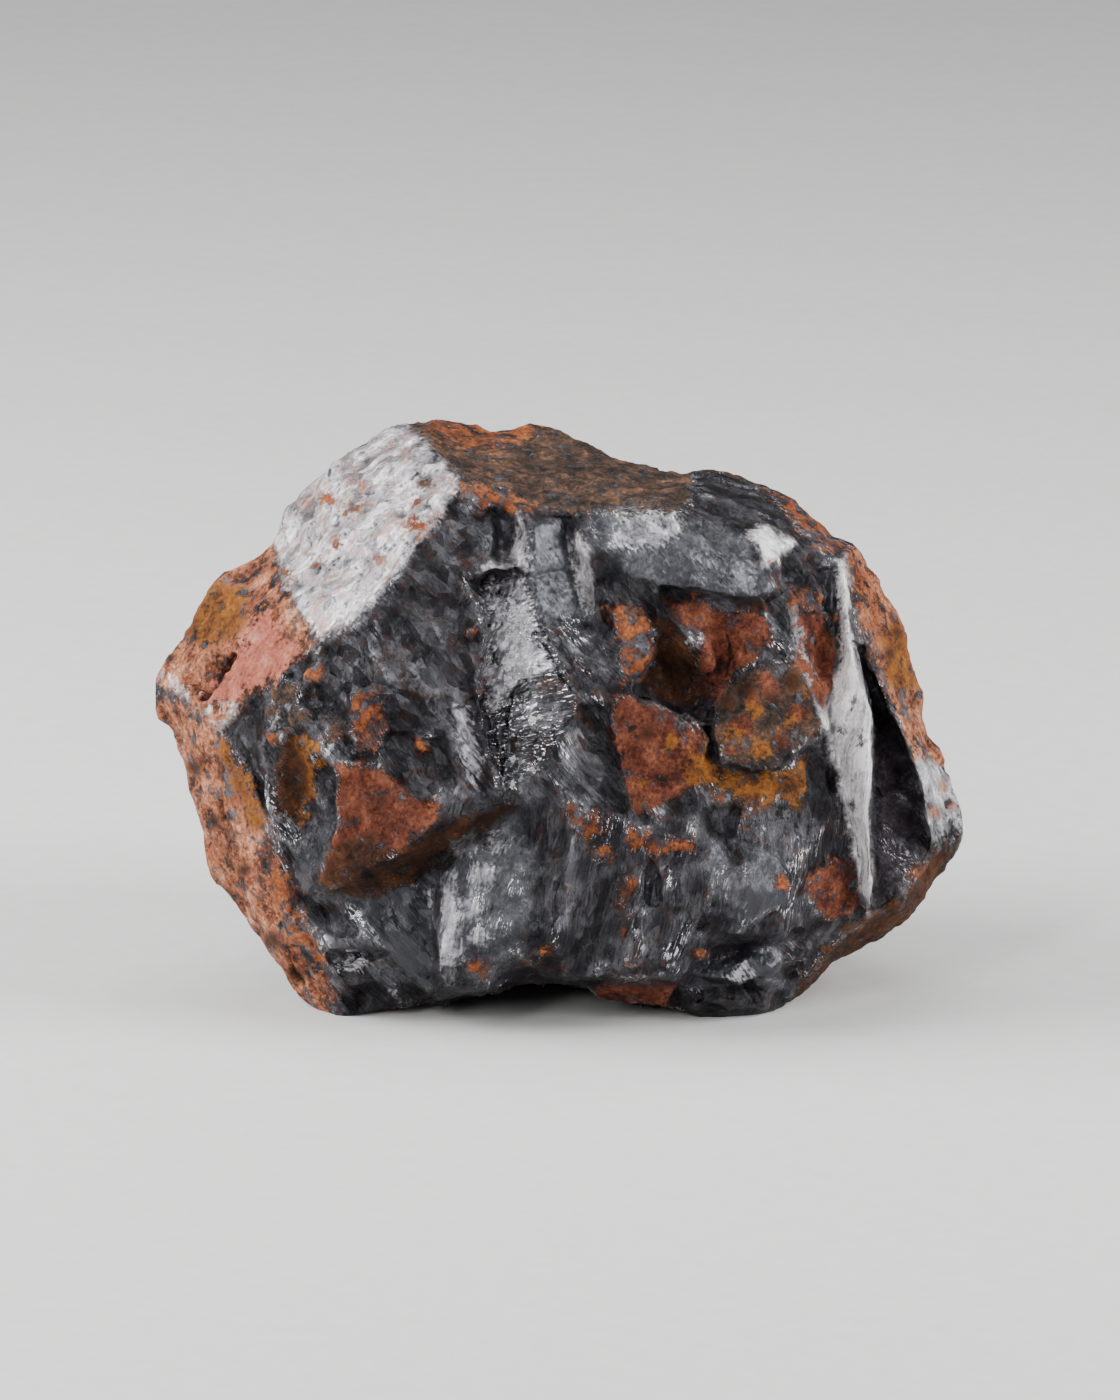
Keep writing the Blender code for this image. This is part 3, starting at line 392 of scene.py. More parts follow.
def view_axes():
    """The view's across, up and out directions, as rows."""
    drop = math.radians(VIEW_DROP_DEG)
    return np.array([
        [1.0, 0.0, 0.0],
        [0.0, math.sin(drop), math.cos(drop)],
        [0.0, -math.cos(drop), math.sin(drop)],
    ])


def as_seen(points):
    """Points of the row frame, in metres, as across, up and out in the view, in millimetres."""
    return (points * 1000 + np.array(OUTLINE_ORIGIN_MM)) @ view_axes().T


# Noise, worked out for many points at once.


def scrambled(cells, salt):
    """A number from 0 to 1 for each whole-numbered cell."""
    x, y, z = (cells[..., i].astype(np.uint64) for i in range(3))
    mixed = x * np.uint64(73856093) ^ y * np.uint64(19349663) ^ z * np.uint64(83492791)
    mixed = (mixed ^ np.uint64(salt * 2654435761)) * np.uint64(0x9E3779B97F4A7C15)
    mixed ^= mixed >> np.uint64(29)
    mixed *= np.uint64(0xBF58476D1CE4E5B9)
    mixed ^= mixed >> np.uint64(32)
    return (mixed & np.uint64(0xFFFFFF)).astype(float) / 0xFFFFFF


def soft_noise(points, salt):
    """Smooth noise from -1 to 1, one lump to each unit of length."""
    corner = np.floor(points)
    part = points - corner
    part = part * part * (3 - 2 * part)
    cells = corner.astype(np.int64)
    total = np.zeros(len(points))
    for dx in (0, 1):
        for dy in (0, 1):
            for dz in (0, 1):
                step = np.array([dx, dy, dz])
                weight = np.prod(np.where(step, part, 1 - part), axis=1)
                total += weight * scrambled(cells + step, salt)
    return 2 * total - 1


def rough_noise(points, size, salt, octaves=4, fade=0.5):
    """Layers of smooth noise, each half the size of the one before."""
    total = np.zeros(len(points))
    for layer in range(octaves):
        total += fade**layer * soft_noise(points * (2.03**layer / size), salt + layer)
    return total


def nodules(points, salt, tilt=1.0, dome=0.55):
    """Tilted, rounded lumps that meet in sharp valleys, one to each unit of length."""
    corner = np.floor(points).astype(np.int64)
    best = np.full(len(points), -9.0)
    for dx in (-1, 0, 1):
        for dy in (-1, 0, 1):
            for dz in (-1, 0, 1):
                cell = corner + np.array([dx, dy, dz])
                seed = cell + np.stack([scrambled(cell, salt + i) for i in range(3)], axis=1)
                lean = np.stack([scrambled(cell, salt + 3 + i) for i in range(3)], axis=1) - 0.5
                away = points - seed
                height = tilt * (lean * away).sum(axis=1) - dome * (away * away).sum(axis=1)
                best = np.maximum(best, height + 0.25 * scrambled(cell, salt + 6))
    return best


def flakes(points, salt, tilt=1.3, dome=0.4):
    """Shallow scoops that meet in sharp crests, as where flakes have broken away."""
    return -nodules(points, salt, tilt, dome)


def along(points, angle_deg, long, wide):
    """Points turned so that a grain at this angle in the view runs along x, and scaled to it."""
    angle = math.radians(angle_deg)
    run = np.array([math.cos(angle), math.sin(angle), 0.0])
    side = np.array([-math.sin(angle), math.cos(angle), 0.0])
    return np.stack([points @ run / long, points @ side / wide, points[:, 2] / wide], axis=1)


def smooth_step(low, high, value):
    share = np.clip((value - low) / (high - low), 0, 1)
    return share * share * (3 - 2 * share)


# The skin: finer triangles on the solid's own surface.


def merged_mesh(node):
    """The node's mesh with its loose triangles joined."""
    work = bmesh.new()
    work.from_mesh(node.data)
    bmesh.ops.remove_doubles(work, verts=work.verts, dist=JOIN_DISTANCE)
    bmesh.ops.recalc_face_normals(work, faces=work.faces)
    mesh = bpy.data.meshes.new("stone_skin")
    work.to_mesh(mesh)
    work.free()
    return mesh


def arrays_of(mesh):
    points = np.empty(len(mesh.vertices) * 3)
    mesh.vertices.foreach_get("co", points)
    corners = np.empty(len(mesh.loops), np.int32)
    mesh.loops.foreach_get("vertex_index", corners)
    return points.reshape(-1, 3), corners.reshape(-1, 3)


def mesh_of(points, triangles):
    mesh = bpy.data.meshes.new("stone_skin")
    mesh.from_pydata(points.tolist(), [], triangles.tolist())
    mesh.update()
    return mesh


def halved(mesh):
    """Each triangle cut into four, bulged to the curve that its corners' normals give.

    An edge sharper than CREASE_DEG stays straight, so that ridges and ledges stay crisp.
    """
    mesh.shade_smooth()
    mesh.set_sharp_from_angle(angle=math.radians(CREASE_DEG))
    points, triangles = arrays_of(mesh)
    normals = np.empty(len(mesh.loops) * 3)
    mesh.corner_normals.foreach_get("vector", normals)
    normals = normals.reshape(-1, 3, 3)
    edge_of = np.empty(len(mesh.loops), np.int32)
    mesh.loops.foreach_get("edge_index", edge_of)
    edge_of = edge_of.reshape(-1, 3)
    sharp = np.zeros(len(mesh.edges), bool)
    mesh.attributes["sharp_edge"].data.foreach_get("value", sharp)
    first, second = points[triangles], points[np.roll(triangles, -1, axis=1)]
    n1, n2 = normals, np.roll(normals, -1, axis=1)
    run = second - first
    bulge = ((run * n2).sum(axis=2, keepdims=True) * n2 - (run * n1).sum(axis=2, keepdims=True) * n1) / 8
    middles = np.zeros((len(mesh.edges), 3))
    middles[edge_of] = (first + second) / 2 + np.where(sharp[edge_of][..., None], 0, bulge)
    a, b, c = triangles.T
    ab, bc, ca = (edge_of + len(points)).T
    pieces = [(a, ab, ca), (ab, b, bc), (ca, bc, c), (ab, bc, ca)]
    finer = np.concatenate([np.stack(piece, axis=1) for piece in pieces])
    return mesh_of(np.concatenate([points, middles]), finer)


def away_from_line(places, line):
    """Distance from each place to an open line, in millimetres."""
    nearest = np.full(len(places), 1e9)
    for start, stop in zip(line, line[1:]):
        run = np.array(stop, float) - np.array(start, float)
        offset = places - np.array(start, float)
        share = np.clip(offset @ run / (run @ run), 0, 1)
        nearest = np.minimum(nearest, np.linalg.norm(offset - share[:, None] * run, axis=1))
    return nearest


def finely_cut(mesh):
    """Edges halved until they are short: shorter towards the viewer, shortest along cracks."""
    out = Vector(view_axes()[2])
    work = bmesh.new()
    work.from_mesh(mesh)
    while True:
        edges = list(work.edges)
        middles = np.array([(edge.verts[0].co + edge.verts[1].co) / 2 for edge in edges])
        lengths = np.array([edge.calc_length() for edge in edges]) * 1000
        seen = np.array([any(f.normal.dot(out) > -0.1 for f in edge.link_faces) for edge in edges])
        places = as_seen(middles)[:, :2]
        to_crack = np.min([away_from_line(places, line) for _, _, line in CRACKS], axis=0)
        near = np.where(to_crack < CRACK_REACH, CRACK_GRAIN, NEAR_GRAIN)
        allowed = np.where(seen, near, FAR_GRAIN)
        long = [edges[i] for i in np.flatnonzero(lengths > allowed)]
        if not long:
            break
        bmesh.ops.subdivide_edges(work, edges=long, cuts=1, use_single_edge=True)
        wide = [f for f in work.faces if len(f.verts) > 3]
        bmesh.ops.triangulate(work, faces=wide, quad_method="SHORT_EDGE", ngon_method="BEAUTY")
    finer = bpy.data.meshes.new("stone_skin")
    work.to_mesh(finer)
    work.free()
    return finer


def vertex_normals(mesh):
    normals = np.empty(len(mesh.vertices) * 3)
    mesh.vertex_normals.foreach_get("vector", normals)
    return normals.reshape(-1, 3)


# Where each finish lies. Depths stop at DEEPEST_MM, so that the near and the far side blend evenly.
DEEPEST_MM = 6.0


def depth_inside(places, outline):
    """How far each place is inside a closed outline, in millimetres, below 0 outside it."""
    ends = np.array(outline, float)
    starts, stops = ends, np.roll(ends, -1, axis=0)
    nearest = np.full(len(places), 1e9)
    inside = np.zeros(len(places), bool)
    for (x1, y1), (x2, y2) in zip(starts, stops):
        run = np.array([x2 - x1, y2 - y1])
        offset = places - (x1, y1)
        share = np.clip(offset @ run / max(run @ run, 1e-9), 0, 1)
        nearest = np.minimum(nearest, np.linalg.norm(offset - share[:, None] * run, axis=1))
        if y1 != y2:
            crosses = ((y1 > places[:, 1]) != (y2 > places[:, 1])) & (
                places[:, 0] < x1 + (places[:, 1] - y1) * (x2 - x1) / (y2 - y1)
            )
            inside ^= crosses
    return np.where(inside, nearest, -nearest)


def drawn_depths(places):
    """For each finish and grain, how far inside its nearest patch each place is."""
    depths = {}
    for name, patches in PATCHES.items():
        fields = [depth_inside(places, outline) for outline in patches.values()]
        depths[name] = np.max(fields, axis=0)
    for name, spots in SPOTS.items():
        for across, up, radius in spots:
            spot = radius - np.hypot(places[:, 0] - across, places[:, 1] - up)
            depths[name] = np.maximum(depths[name], spot)
    return depths


def guessed_depths(points):
    """The same for the sides that the patches don't reach: broad stains in three dimensions."""

    def stain(size, salt, scarcity):
        return 0.9 * size * (rough_noise(points, size, salt, 3) - scarcity)

    height = points[:, 1] / 90
    return {
        "steel": stain(24, 11, 0.45),
        "silver": stain(18, 17, 0.72),
        "pale": stain(12, 19, 1.2),
        "crust": stain(36, 23, 0.45 - 0.6 * height),
        "peach": stain(30, 29, 0.62),
        "pink": stain(16, 31, 1.1),
        "rust": stain(22, 37, 0.45),
        "orange": stain(13, 39, 0.62),
        "ochre": stain(12, 47, 0.7),
        "umber_and_shade": stain(16, 53, 0.65),
        "dark_metal_and_shade": stain(12, 59, 1.1),
        "sloping": stain(30, 29, 0.4),
        "upright": stain(30, 61, 0.0),
        "ripple": stain(18, 17, 0.6),
        "calm": stain(24, 11, 0.4),
    }


def finish_depths(points, normals):
    """The drawn patches on the near side, running over into the guessed ones on the far side."""
    near = smooth_step(-0.25, 0.05, normals[:, 2])
    drawn = drawn_depths(points[:, :2])
    guessed = guessed_depths(points)
    most = DEEPEST_MM
    return {
        name: near * np.clip(drawn[name], -most, most)
        + (1 - near) * np.clip(guessed[name], -most, most)
        for name in FINISHES + GRAINS
    }


# The relief of the broken surface.


def relief(points, depths, far):
    """How far each point stands out from the solid's surface, in millimetres."""

    def share(name):
        return smooth_step(-0.8, 0.8, depths[name] + 0.8 * rough_noise(points, 3.0, 91))

    wavy = points + 1.6 * np.stack([rough_noise(points, 9.0, 51 + i, 3) for i in range(3)], axis=1)
    slanting = flakes(along(wavy, -52, 9.5, 4.0), 5) * 1.5
    slanting += flakes(along(wavy, -60, 4.2, 1.9), 13) * 0.8
    standing = flakes(along(wavy, 78, 10.5, 3.8), 21) * 1.5
    standing += flakes(along(wavy, 86, 4.8, 1.8), 29) * 0.8
    broken = slanting + share("upright") * (standing - slanting)
    knobs = nodules(wavy / 3.1, 41, 0.5, 0.9) * 0.9 + rough_noise(points, 0.9, 45, 2) * 0.1
    grainy = rough_noise(points, 2.4, 61, 4, 0.6) * 0.3 + nodules(wavy / 1.6, 67) * 0.25
    ripples = flakes(along(wavy, 14, 3.0, 1.2), 71) * 0.4
    slab = nodules(along(wavy, 50, 5.2, 2.6), 43, 0.9, 0.8)
    slab += nodules(along(wavy, 46, 2.4, 1.3), 47) * 0.4
    height = broken
    for name, surface in (
        ("silver", 0.7 * broken + 0.3 * knobs), ("sloping", slab),
        ("ripple", 0.8 * ripples + 0.1 * broken), ("crust", grainy),
        ("peach", 0.6 * knobs + 0.4 * slab), ("pink", 0.6 * grainy), ("rust", grainy),
        ("orange", grainy), ("ochre", grainy),
    ):
        height = height + share(name) * (surface - height)
    return height * (1 - 0.7 * share("calm")) + far * 2.4 * flakes(wavy / 17.0, 101, 1.1, 0.5)


def crack_depth(points, normals):
    """How deep the cracks cut, in millimetres, on the side that faces the viewer."""
    depth = np.zeros(len(points))
    wobble = 0.35 * np.stack([rough_noise(points, 2.2, 81 + i, 3) for i in range(2)], axis=1)
    for width, deep, line in CRACKS:
        away = away_from_line(points[:, :2] + wobble, line)
        depth = np.maximum(depth, deep * (1 - smooth_step(0.2 * width, 1.3 * width, away)))
    return depth * (normals[:, 2] > 0)


def give_attribute(mesh, name, values):
    attribute = mesh.attributes.new(name, "FLOAT", "POINT")
    attribute.data.foreach_set("value", values.astype(np.float32))


def build_stone(node):
    mesh = finely_cut(halved(merged_mesh(node)))
    points, _ = arrays_of(mesh)
    normals = vertex_normals(mesh)
    low, high = (np.array(corner) for corner in cad_box)
    seen = as_seen(points)
    seen_normals = normals @ view_axes().T
    depths = finish_depths(seen, seen_normals)
    far = 1 - smooth_step(-0.5, 0.0, seen_normals[:, 2])
    height = relief(seen, depths, far)
    height -= np.median(height)
    seat = smooth_step(0.0, SEAT_RISE, points[:, 2] - low[2])
    cracks = crack_depth(seen, seen_normals)
    moved = points + normals * (seat * (height - cracks) / 1000)[:, None]
    moved = np.clip(moved, low, high)
    mesh.vertices.foreach_set("co", moved.ravel())
    mesh.update()
    for name, values in depths.items():
        give_attribute(mesh, name, values)
    give_attribute(mesh, "hollow", np.clip(0.5 - height, 0, 1.5))
    give_attribute(mesh, "crack", np.clip(cracks / 0.5, 0, 1))
    mesh.shade_smooth()
    stone = bpy.data.objects.new("stone", mesh)
    bpy.context.scene.collection.objects.link(stone)
    return stone


# Materials.


class Nodes:
    """Short calls for building a material's nodes."""

    def __init__(self, material):
        material.use_nodes = True
        self.tree = material.node_tree
        self.shader = self.tree.nodes["Principled BSDF"]

    def node(self, kind, inputs=(), **settings):
        node = self.tree.nodes.new(kind)
        for name, value in settings.items():
            setattr(node, name, value)
        for name, value in dict(inputs).items():
            self.put(node.inputs[name], value)
        return node

    def add(self, kind, inputs=(), output=0, **settings):
        return self.node(kind, inputs, **settings).outputs[output]

    def put(self, socket, value):
        if isinstance(value, bpy.types.NodeSocket):
            self.tree.links.new(value, socket)
        else:
            socket.default_value = value

    def maths(self, operation, *values, clamp=False):
        return self.add(
            "ShaderNodeMath", dict(enumerate(values)), operation=operation, use_clamp=clamp
        )

    def vector(self, operation, *values):
        return self.add("ShaderNodeVectorMath", dict(enumerate(values)), operation=operation)

    def weighed(self, *parts):
        """The sum of numbers, each times its own weight."""
        total = 0.0
        for value, weight in parts:
            total = self.add("ShaderNodeMath", {0: value, 1: weight, 2: total}, operation="MULTIPLY_ADD")
        return total

    def scaled(self, vector, factor):
        return self.add(
            "ShaderNodeVectorMath", {0: vector, "Scale": factor}, operation="SCALE"
        )

    def step(self, value, low, high):
        inputs = {"Value": value, "From Min": low, "From Max": high}
        return self.add("ShaderNodeMapRange", inputs, interpolation_type="SMOOTHSTEP")

    def grain(self, coords, size, detail=4.0, roughness=0.55, distortion=0.0, output="Fac"):
        inputs = {
            "Vector": coords, "Scale": 1 / size, "Detail": detail, "Roughness": roughness,
            "Distortion": distortion,
        }
        return self.add("ShaderNodeTexNoise", inputs, output=output)

    def turned(self, coords, angle_deg, long, wide):
        """Coordinates in which a grain at this angle in the view is long along x."""
        inputs = {
            "Vector": coords,
            "Rotation": (0.0, -math.radians(angle_deg), 0.0),
            "Scale": (long, wide, wide),
        }
        return self.add("ShaderNodeMapping", inputs, vector_type="TEXTURE")

    def mix(self, factor, first, second):
        """Mixed colours, or mixed numbers where both are numbers."""
        colours = [isinstance(v, tuple) or getattr(v, "type", "") == "RGBA" for v in (first, second)]
        if any(colours):
            inputs = {0: factor, 6: first, 7: second}
            return self.add("ShaderNodeMix", inputs, output=2, data_type="RGBA")
        inputs = {0: factor, 2: first, 3: second}
        return self.add("ShaderNodeMix", inputs, output=0, data_type="FLOAT")

    def shades(self, value, *stops):
        """Colours run along a ramp: each stop is (position, red, green, blue)."""
        node = self.tree.nodes.new("ShaderNodeValToRGB")
        ramp = node.color_ramp
        while len(ramp.elements) < len(stops):
            ramp.elements.new(0.5)
        for element, (position, *colour) in zip(ramp.elements, stops):
            element.position = position
            element.color = (*colour, 1.0)
        self.put(node.inputs[0], value)
        return node.outputs[0]

    def attribute(self, name):
        return self.add("ShaderNodeAttribute", output="Fac", attribute_name=name)


# Each finish, a stain or painted light: its shades from dark to light, how ragged its edge is, how much
# of the stone shows through it, how rough it is and how metallic. The near-black and dark brown
# finishes are partly painted shade, the silvery and pale ones partly painted sheen.
STAINS_AND_PAINTED_LIGHT = {
    "steel": {
        "shades": ((0.36, 0.042, 0.043, 0.049), (0.5, 0.098, 0.1, 0.113), (0.66, 0.25, 0.253, 0.272)),
        "edge": 0.5, "bare": 0.05, "roughness": 0.36, "metal": 0.85,
    },
    # Silvery metal: partly the stone's own silver, partly painted sheen where faces turn to the light.
    "silver": {
        "shades": (
            (0.37, 0.05, 0.05, 0.057), (0.45, 0.2, 0.196, 0.212), (0.55, 0.5, 0.482, 0.51),
            (0.65, 0.9, 0.87, 0.9),
        ),
        "edge": 0.7, "bare": 0.12, "roughness": 0.3, "metal": 0.72,
    },
    # Near-white: painted sheen on faces that catch the light, over the stone's silvery metal.
    "pale": {
        "shades": ((0.35, 0.13, 0.122, 0.13), (0.46, 0.42, 0.4, 0.415), (0.57, 0.95, 0.91, 0.92)),
        "edge": 0.6, "bare": 0.06, "roughness": 0.34, "metal": 0.3,
    },
    "crust": {
        "shades": (
            (0.39, 0.01, 0.008, 0.007), (0.47, 0.036, 0.023, 0.017), (0.54, 0.095, 0.053, 0.035),
            (0.63, 0.28, 0.125, 0.065),
        ),
        "edge": 1.0, "bare": 0.15, "roughness": 0.72, "metal": 0.0,
    },
    "peach": {
        "shades": (
            (0.41, 0.022, 0.014, 0.012), (0.465, 0.17, 0.05, 0.022), (0.54, 0.43, 0.165, 0.085),
            (0.64, 0.68, 0.42, 0.31),
        ),
        "edge": 0.8, "bare": 0.2, "roughness": 0.68, "metal": 0.0,
    },
    "pink": {
        "shades": ((0.36, 0.2, 0.045, 0.028), (0.5, 0.43, 0.13, 0.085), (0.66, 0.62, 0.31, 0.25)),
        "edge": 1.4, "bare": 0.05, "roughness": 0.66, "metal": 0.0,
    },
    "rust": {
        "shades": (
            (0.39, 0.01, 0.005, 0.004), (0.46, 0.075, 0.018, 0.009), (0.54, 0.172, 0.049, 0.026),
            (0.65, 0.34, 0.135, 0.07),
        ),
        "edge": 1.1, "bare": 0.12, "roughness": 0.76, "metal": 0.0,
    },
    "orange": {
        "shades": (
            (0.36, 0.025, 0.008, 0.004), (0.46, 0.14, 0.035, 0.013), (0.56, 0.34, 0.1, 0.034),
            (0.68, 0.54, 0.24, 0.1),
        ),
        "edge": 1.3, "bare": 0.3, "roughness": 0.74, "metal": 0.0,
    },
    "ochre": {
        "shades": (
            (0.36, 0.016, 0.008, 0.004), (0.46, 0.11, 0.036, 0.008), (0.56, 0.27, 0.095, 0.016),
            (0.68, 0.45, 0.2, 0.05),
        ),
        "edge": 1.4, "bare": 0.12, "roughness": 0.74, "metal": 0.0,
    },
    # Dark brown: painted shade under the ledge, in the hollow and the pit, and the stone's own dark
    # brown specks.
    "umber_and_shade": {
        "shades": (
            (0.36, 0.006, 0.003, 0.002), (0.47, 0.03, 0.011, 0.005), (0.56, 0.075, 0.026, 0.009),
            (0.68, 0.2, 0.08, 0.025),
        ),
        "edge": 0.9, "bare": 0.1, "roughness": 0.7, "metal": 0.1,
    },
    # Near-black metal: painted shade in the recess, the notch, holes and under the hem; plain dark
    # patches on the far side.
    "dark_metal_and_shade": {
        "shades": ((0.36, 0.008, 0.007, 0.009), (0.5, 0.028, 0.022, 0.027), (0.66, 0.09, 0.08, 0.09)),
        "edge": 0.7, "bare": 0.1, "roughness": 0.42, "metal": 0.6,
    },
}


def chips(nodes, space):
    """Broken, tilted faces, one to each unit of a stretched space: their height and shade."""
    cell = nodes.node("ShaderNodeTexVoronoi", {"Vector": space, "Scale": 1.0})
    away = nodes.vector("SUBTRACT", space, cell.outputs["Position"])
    lean = nodes.vector("SUBTRACT", cell.outputs["Color"], (0.5, 0.5, 0.5))
    height = nodes.add(
        "ShaderNodeVectorMath", {0: away, 1: lean}, output="Value", operation="DOT_PRODUCT"
    )
    shade = nodes.add("ShaderNodeSeparateColor", {"Color": cell.outputs["Color"]}, output=0)
    return height, shade


# The bare metal and what darkens or brightens it: nicks, dust and cracks, with painted shade in hollows
# and painted glints.
BODY_SHADES = ((0.4, 0.026, 0.026, 0.03), (0.5, 0.063, 0.062, 0.07), (0.6, 0.145, 0.145, 0.16))
NICK = (0.008, 0.008, 0.01, 1.0)
DUST = (0.075, 0.03, 0.018, 1.0)
CALM_GREY = (0.06, 0.061, 0.07, 1.0)
SLAB_BLUSH = (0.42, 0.25, 0.2, 1.0)
# Painted shade: the colour laid into hollows of the relief.
PAINTED_HOLLOW_SHADE = (0.006, 0.005, 0.005, 1.0)
CRACK_DARK = (0.004, 0.003, 0.003, 1.0)
# Painted highlight: the near-white colour of the glints.
PAINTED_GLINT = (0.85, 0.85, 0.88, 1.0)
BODY_METAL = 0.85
GLINT_METAL = 0.95
GLINT_ROUGHNESS = 0.22
SPECULAR = 0.15

# How far a finish's edge wanders and speckles, in millimetres, and how deep the shader's fine
# relief is, in metres.
EDGE_WANDER = 6.5
EDGE_SPECKLE = 3.0
RELIEF_DEPTH = 0.00105


class Surface:
    """The stone's grains, chips and noises, which its colours and fine relief are made from."""

    def __init__(self, nodes):
        self.nodes = nodes
        self.upright = nodes.step(nodes.attribute("upright"), -1.5, 1.5)
        self.ripple = nodes.step(nodes.attribute("ripple"), -1.0, 1.0)
        self.sloping = nodes.step(nodes.attribute("sloping"), -1.0, 1.0)
        self.calm = nodes.step(nodes.attribute("calm"), -0.6, 0.6)
        self.hollow = nodes.attribute("hollow")
        coords = nodes.add("ShaderNodeTexCoord", output="Object")
        bend = nodes.grain(coords, 0.014, 2.0, output="Color")
        bend = nodes.scaled(nodes.vector("SUBTRACT", bend, (0.5, 0.5, 0.5)), 0.0035)
        flow = nodes.vector("ADD", coords, bend)
        self.strokes = self.by_grain(
            nodes.grain(nodes.turned(flow, -52, 0.005, 0.00042), 1.0, 3.0, 0.6),
            nodes.grain(nodes.turned(flow, 80, 0.006, 0.0004), 1.0, 3.0, 0.6),
            nodes.grain(nodes.turned(flow, 16, 0.003, 0.0004), 1.0, 3.0, 0.6),
            nodes.grain(nodes.turned(flow, 50, 0.0034, 0.0009), 1.0, 4.0, 0.65),
        )
        self.thin = self.by_grain(
            nodes.grain(nodes.turned(flow, -56, 0.0019, 0.00024), 1.0, 2.0),
            nodes.grain(nodes.turned(flow, 77, 0.002, 0.00024), 1.0, 2.0),
            nodes.grain(nodes.turned(flow, 10, 0.0018, 0.00024), 1.0, 2.0),
            nodes.grain(nodes.turned(flow, 54, 0.0018, 0.0003), 1.0, 2.0),
        )
        slanting_height, slanting_shade = chips(nodes, nodes.turned(flow, -48, 0.0042, 0.0013))
        standing_height, standing_shade = chips(nodes, nodes.turned(flow, 82, 0.0046, 0.0012))
        small_height, small_shade = chips(nodes, nodes.turned(flow, 66, 0.0011, 0.00055))
        climbing_height, climbing_shade = chips(nodes, nodes.turned(flow, 48, 0.003, 0.0016))
        self.chip_height = self.by_grain(slanting_height, standing_height, small_height, climbing_height)
        self.chip_shade = self.by_grain(slanting_shade, standing_shade, small_shade, climbing_shade)
        self.small_height, self.small_shade = small_height, small_shade
        self.fine = nodes.grain(coords, 0.0006, 5.0, 0.65)
        self.patchy = nodes.grain(coords, 0.007, 6.0, 0.62)
        self.ragged = nodes.grain(flow, 0.0034, 9.0, 0.72)
        self.holes = nodes.grain(nodes.vector("ADD", coords, (0.3, 0.1, 0.2)), 0.0024, 6.0, 0.7)

    def by_grain(self, slanting, standing, rippled, climbing):
        """Whichever of the four belongs to the grain that runs there."""
        across = self.nodes.mix(self.upright, slanting, standing)
        across = self.nodes.mix(self.ripple, across, rippled)
        return self.nodes.mix(self.sloping, across, climbing)


def bare_metal(nodes, surface):
    """The dark metal's colour and roughness, with nicks and a little rusty dust."""
    tone = nodes.weighed((surface.patchy, 0.6), (surface.strokes, 0.25), (surface.chip_shade, 0.15))
    colour = nodes.shades(tone, *BODY_SHADES)
    nick = nodes.maths("MULTIPLY", nodes.step(surface.thin, 0.4, 0.32), 0.75)
    colour = nodes.mix(nick, colour, NICK)
    dust = nodes.maths("MULTIPLY", nodes.step(surface.holes, 0.52, 0.64), 0.55)
    colour = nodes.mix(dust, colour, DUST)
    colour = nodes.mix(nodes.maths("MULTIPLY", surface.calm, 0.75), colour, CALM_GREY)
    roughness = nodes.mix(surface.calm, nodes.mix(surface.chip_shade, 0.26, 0.46), 0.32)
    return colour, roughness


def painted_glints(nodes, surface):
    """Where painted highlights go: bright colour on thin crests and small flakes, as if they caught the
    light; not in hollows, few on calm faces.
    """
    streak = nodes.maths(
        "MULTIPLY", nodes.step(surface.thin, 0.57, 0.61), nodes.step(surface.ragged, 0.43, 0.52)
    )
    flake = nodes.maths(
        "MULTIPLY", nodes.step(surface.small_shade, 0.88, 0.9), nodes.step(surface.patchy, 0.5, 0.6)
    )
    glint = nodes.maths("MAXIMUM", streak, flake)
    glint = nodes.maths("MULTIPLY", glint, nodes.maths("SUBTRACT", 1.0, surface.calm, clamp=True))
    glint = nodes.maths("MULTIPLY", glint, nodes.mix(surface.sloping, 1.0, 0.2))
    return nodes.maths("MULTIPLY", glint, nodes.step(surface.hollow, 0.75, 0.45))


def silver_tone(nodes, surface):
    """Light and dark over the silver: streaked, but in facets on the slanting slab, with painted shade
    in hollows.
    """
    streaked = nodes.weighed(
        (surface.strokes, 0.24), (surface.patchy, 0.26), (surface.fine, 0.24), (surface.chip_shade, 0.1)
    )
    faceted = nodes.weighed(
        (surface.strokes, 0.12), (surface.patchy, 0.46), (surface.fine, 0.12), (surface.chip_shade, 0.14)
    )
    mixed = nodes.mix(surface.sloping, streaked, faceted)
    # Painted shade: the silver darker where the relief sinks into hollows.
    return nodes.weighed((mixed, 1.0), (surface.hollow, -0.12), (0.16, 1.0))


def finish_share(nodes, surface, name, stain):
    """How much of the stone the finish, a stain or painted light, covers, before any of it shows
    through.
    """
    edge_noise = surface.strokes if name == "silver" else surface.ragged
    wander = nodes.maths("SUBTRACT", edge_noise, 0.5)
    wander = nodes.maths("MULTIPLY", wander, EDGE_WANDER * stain["edge"])
    speckle = nodes.maths("SUBTRACT", surface.fine, 0.5)
    speckle = nodes.maths("MULTIPLY", speckle, EDGE_SPECKLE * stain["edge"])
    depth = nodes.maths("ADD", nodes.attribute(name), nodes.maths("ADD", wander, speckle))
    fade = 1.4 if name == "steel" else 0.0
    return nodes.step(depth, -0.5 - fade, 0.7 + fade)


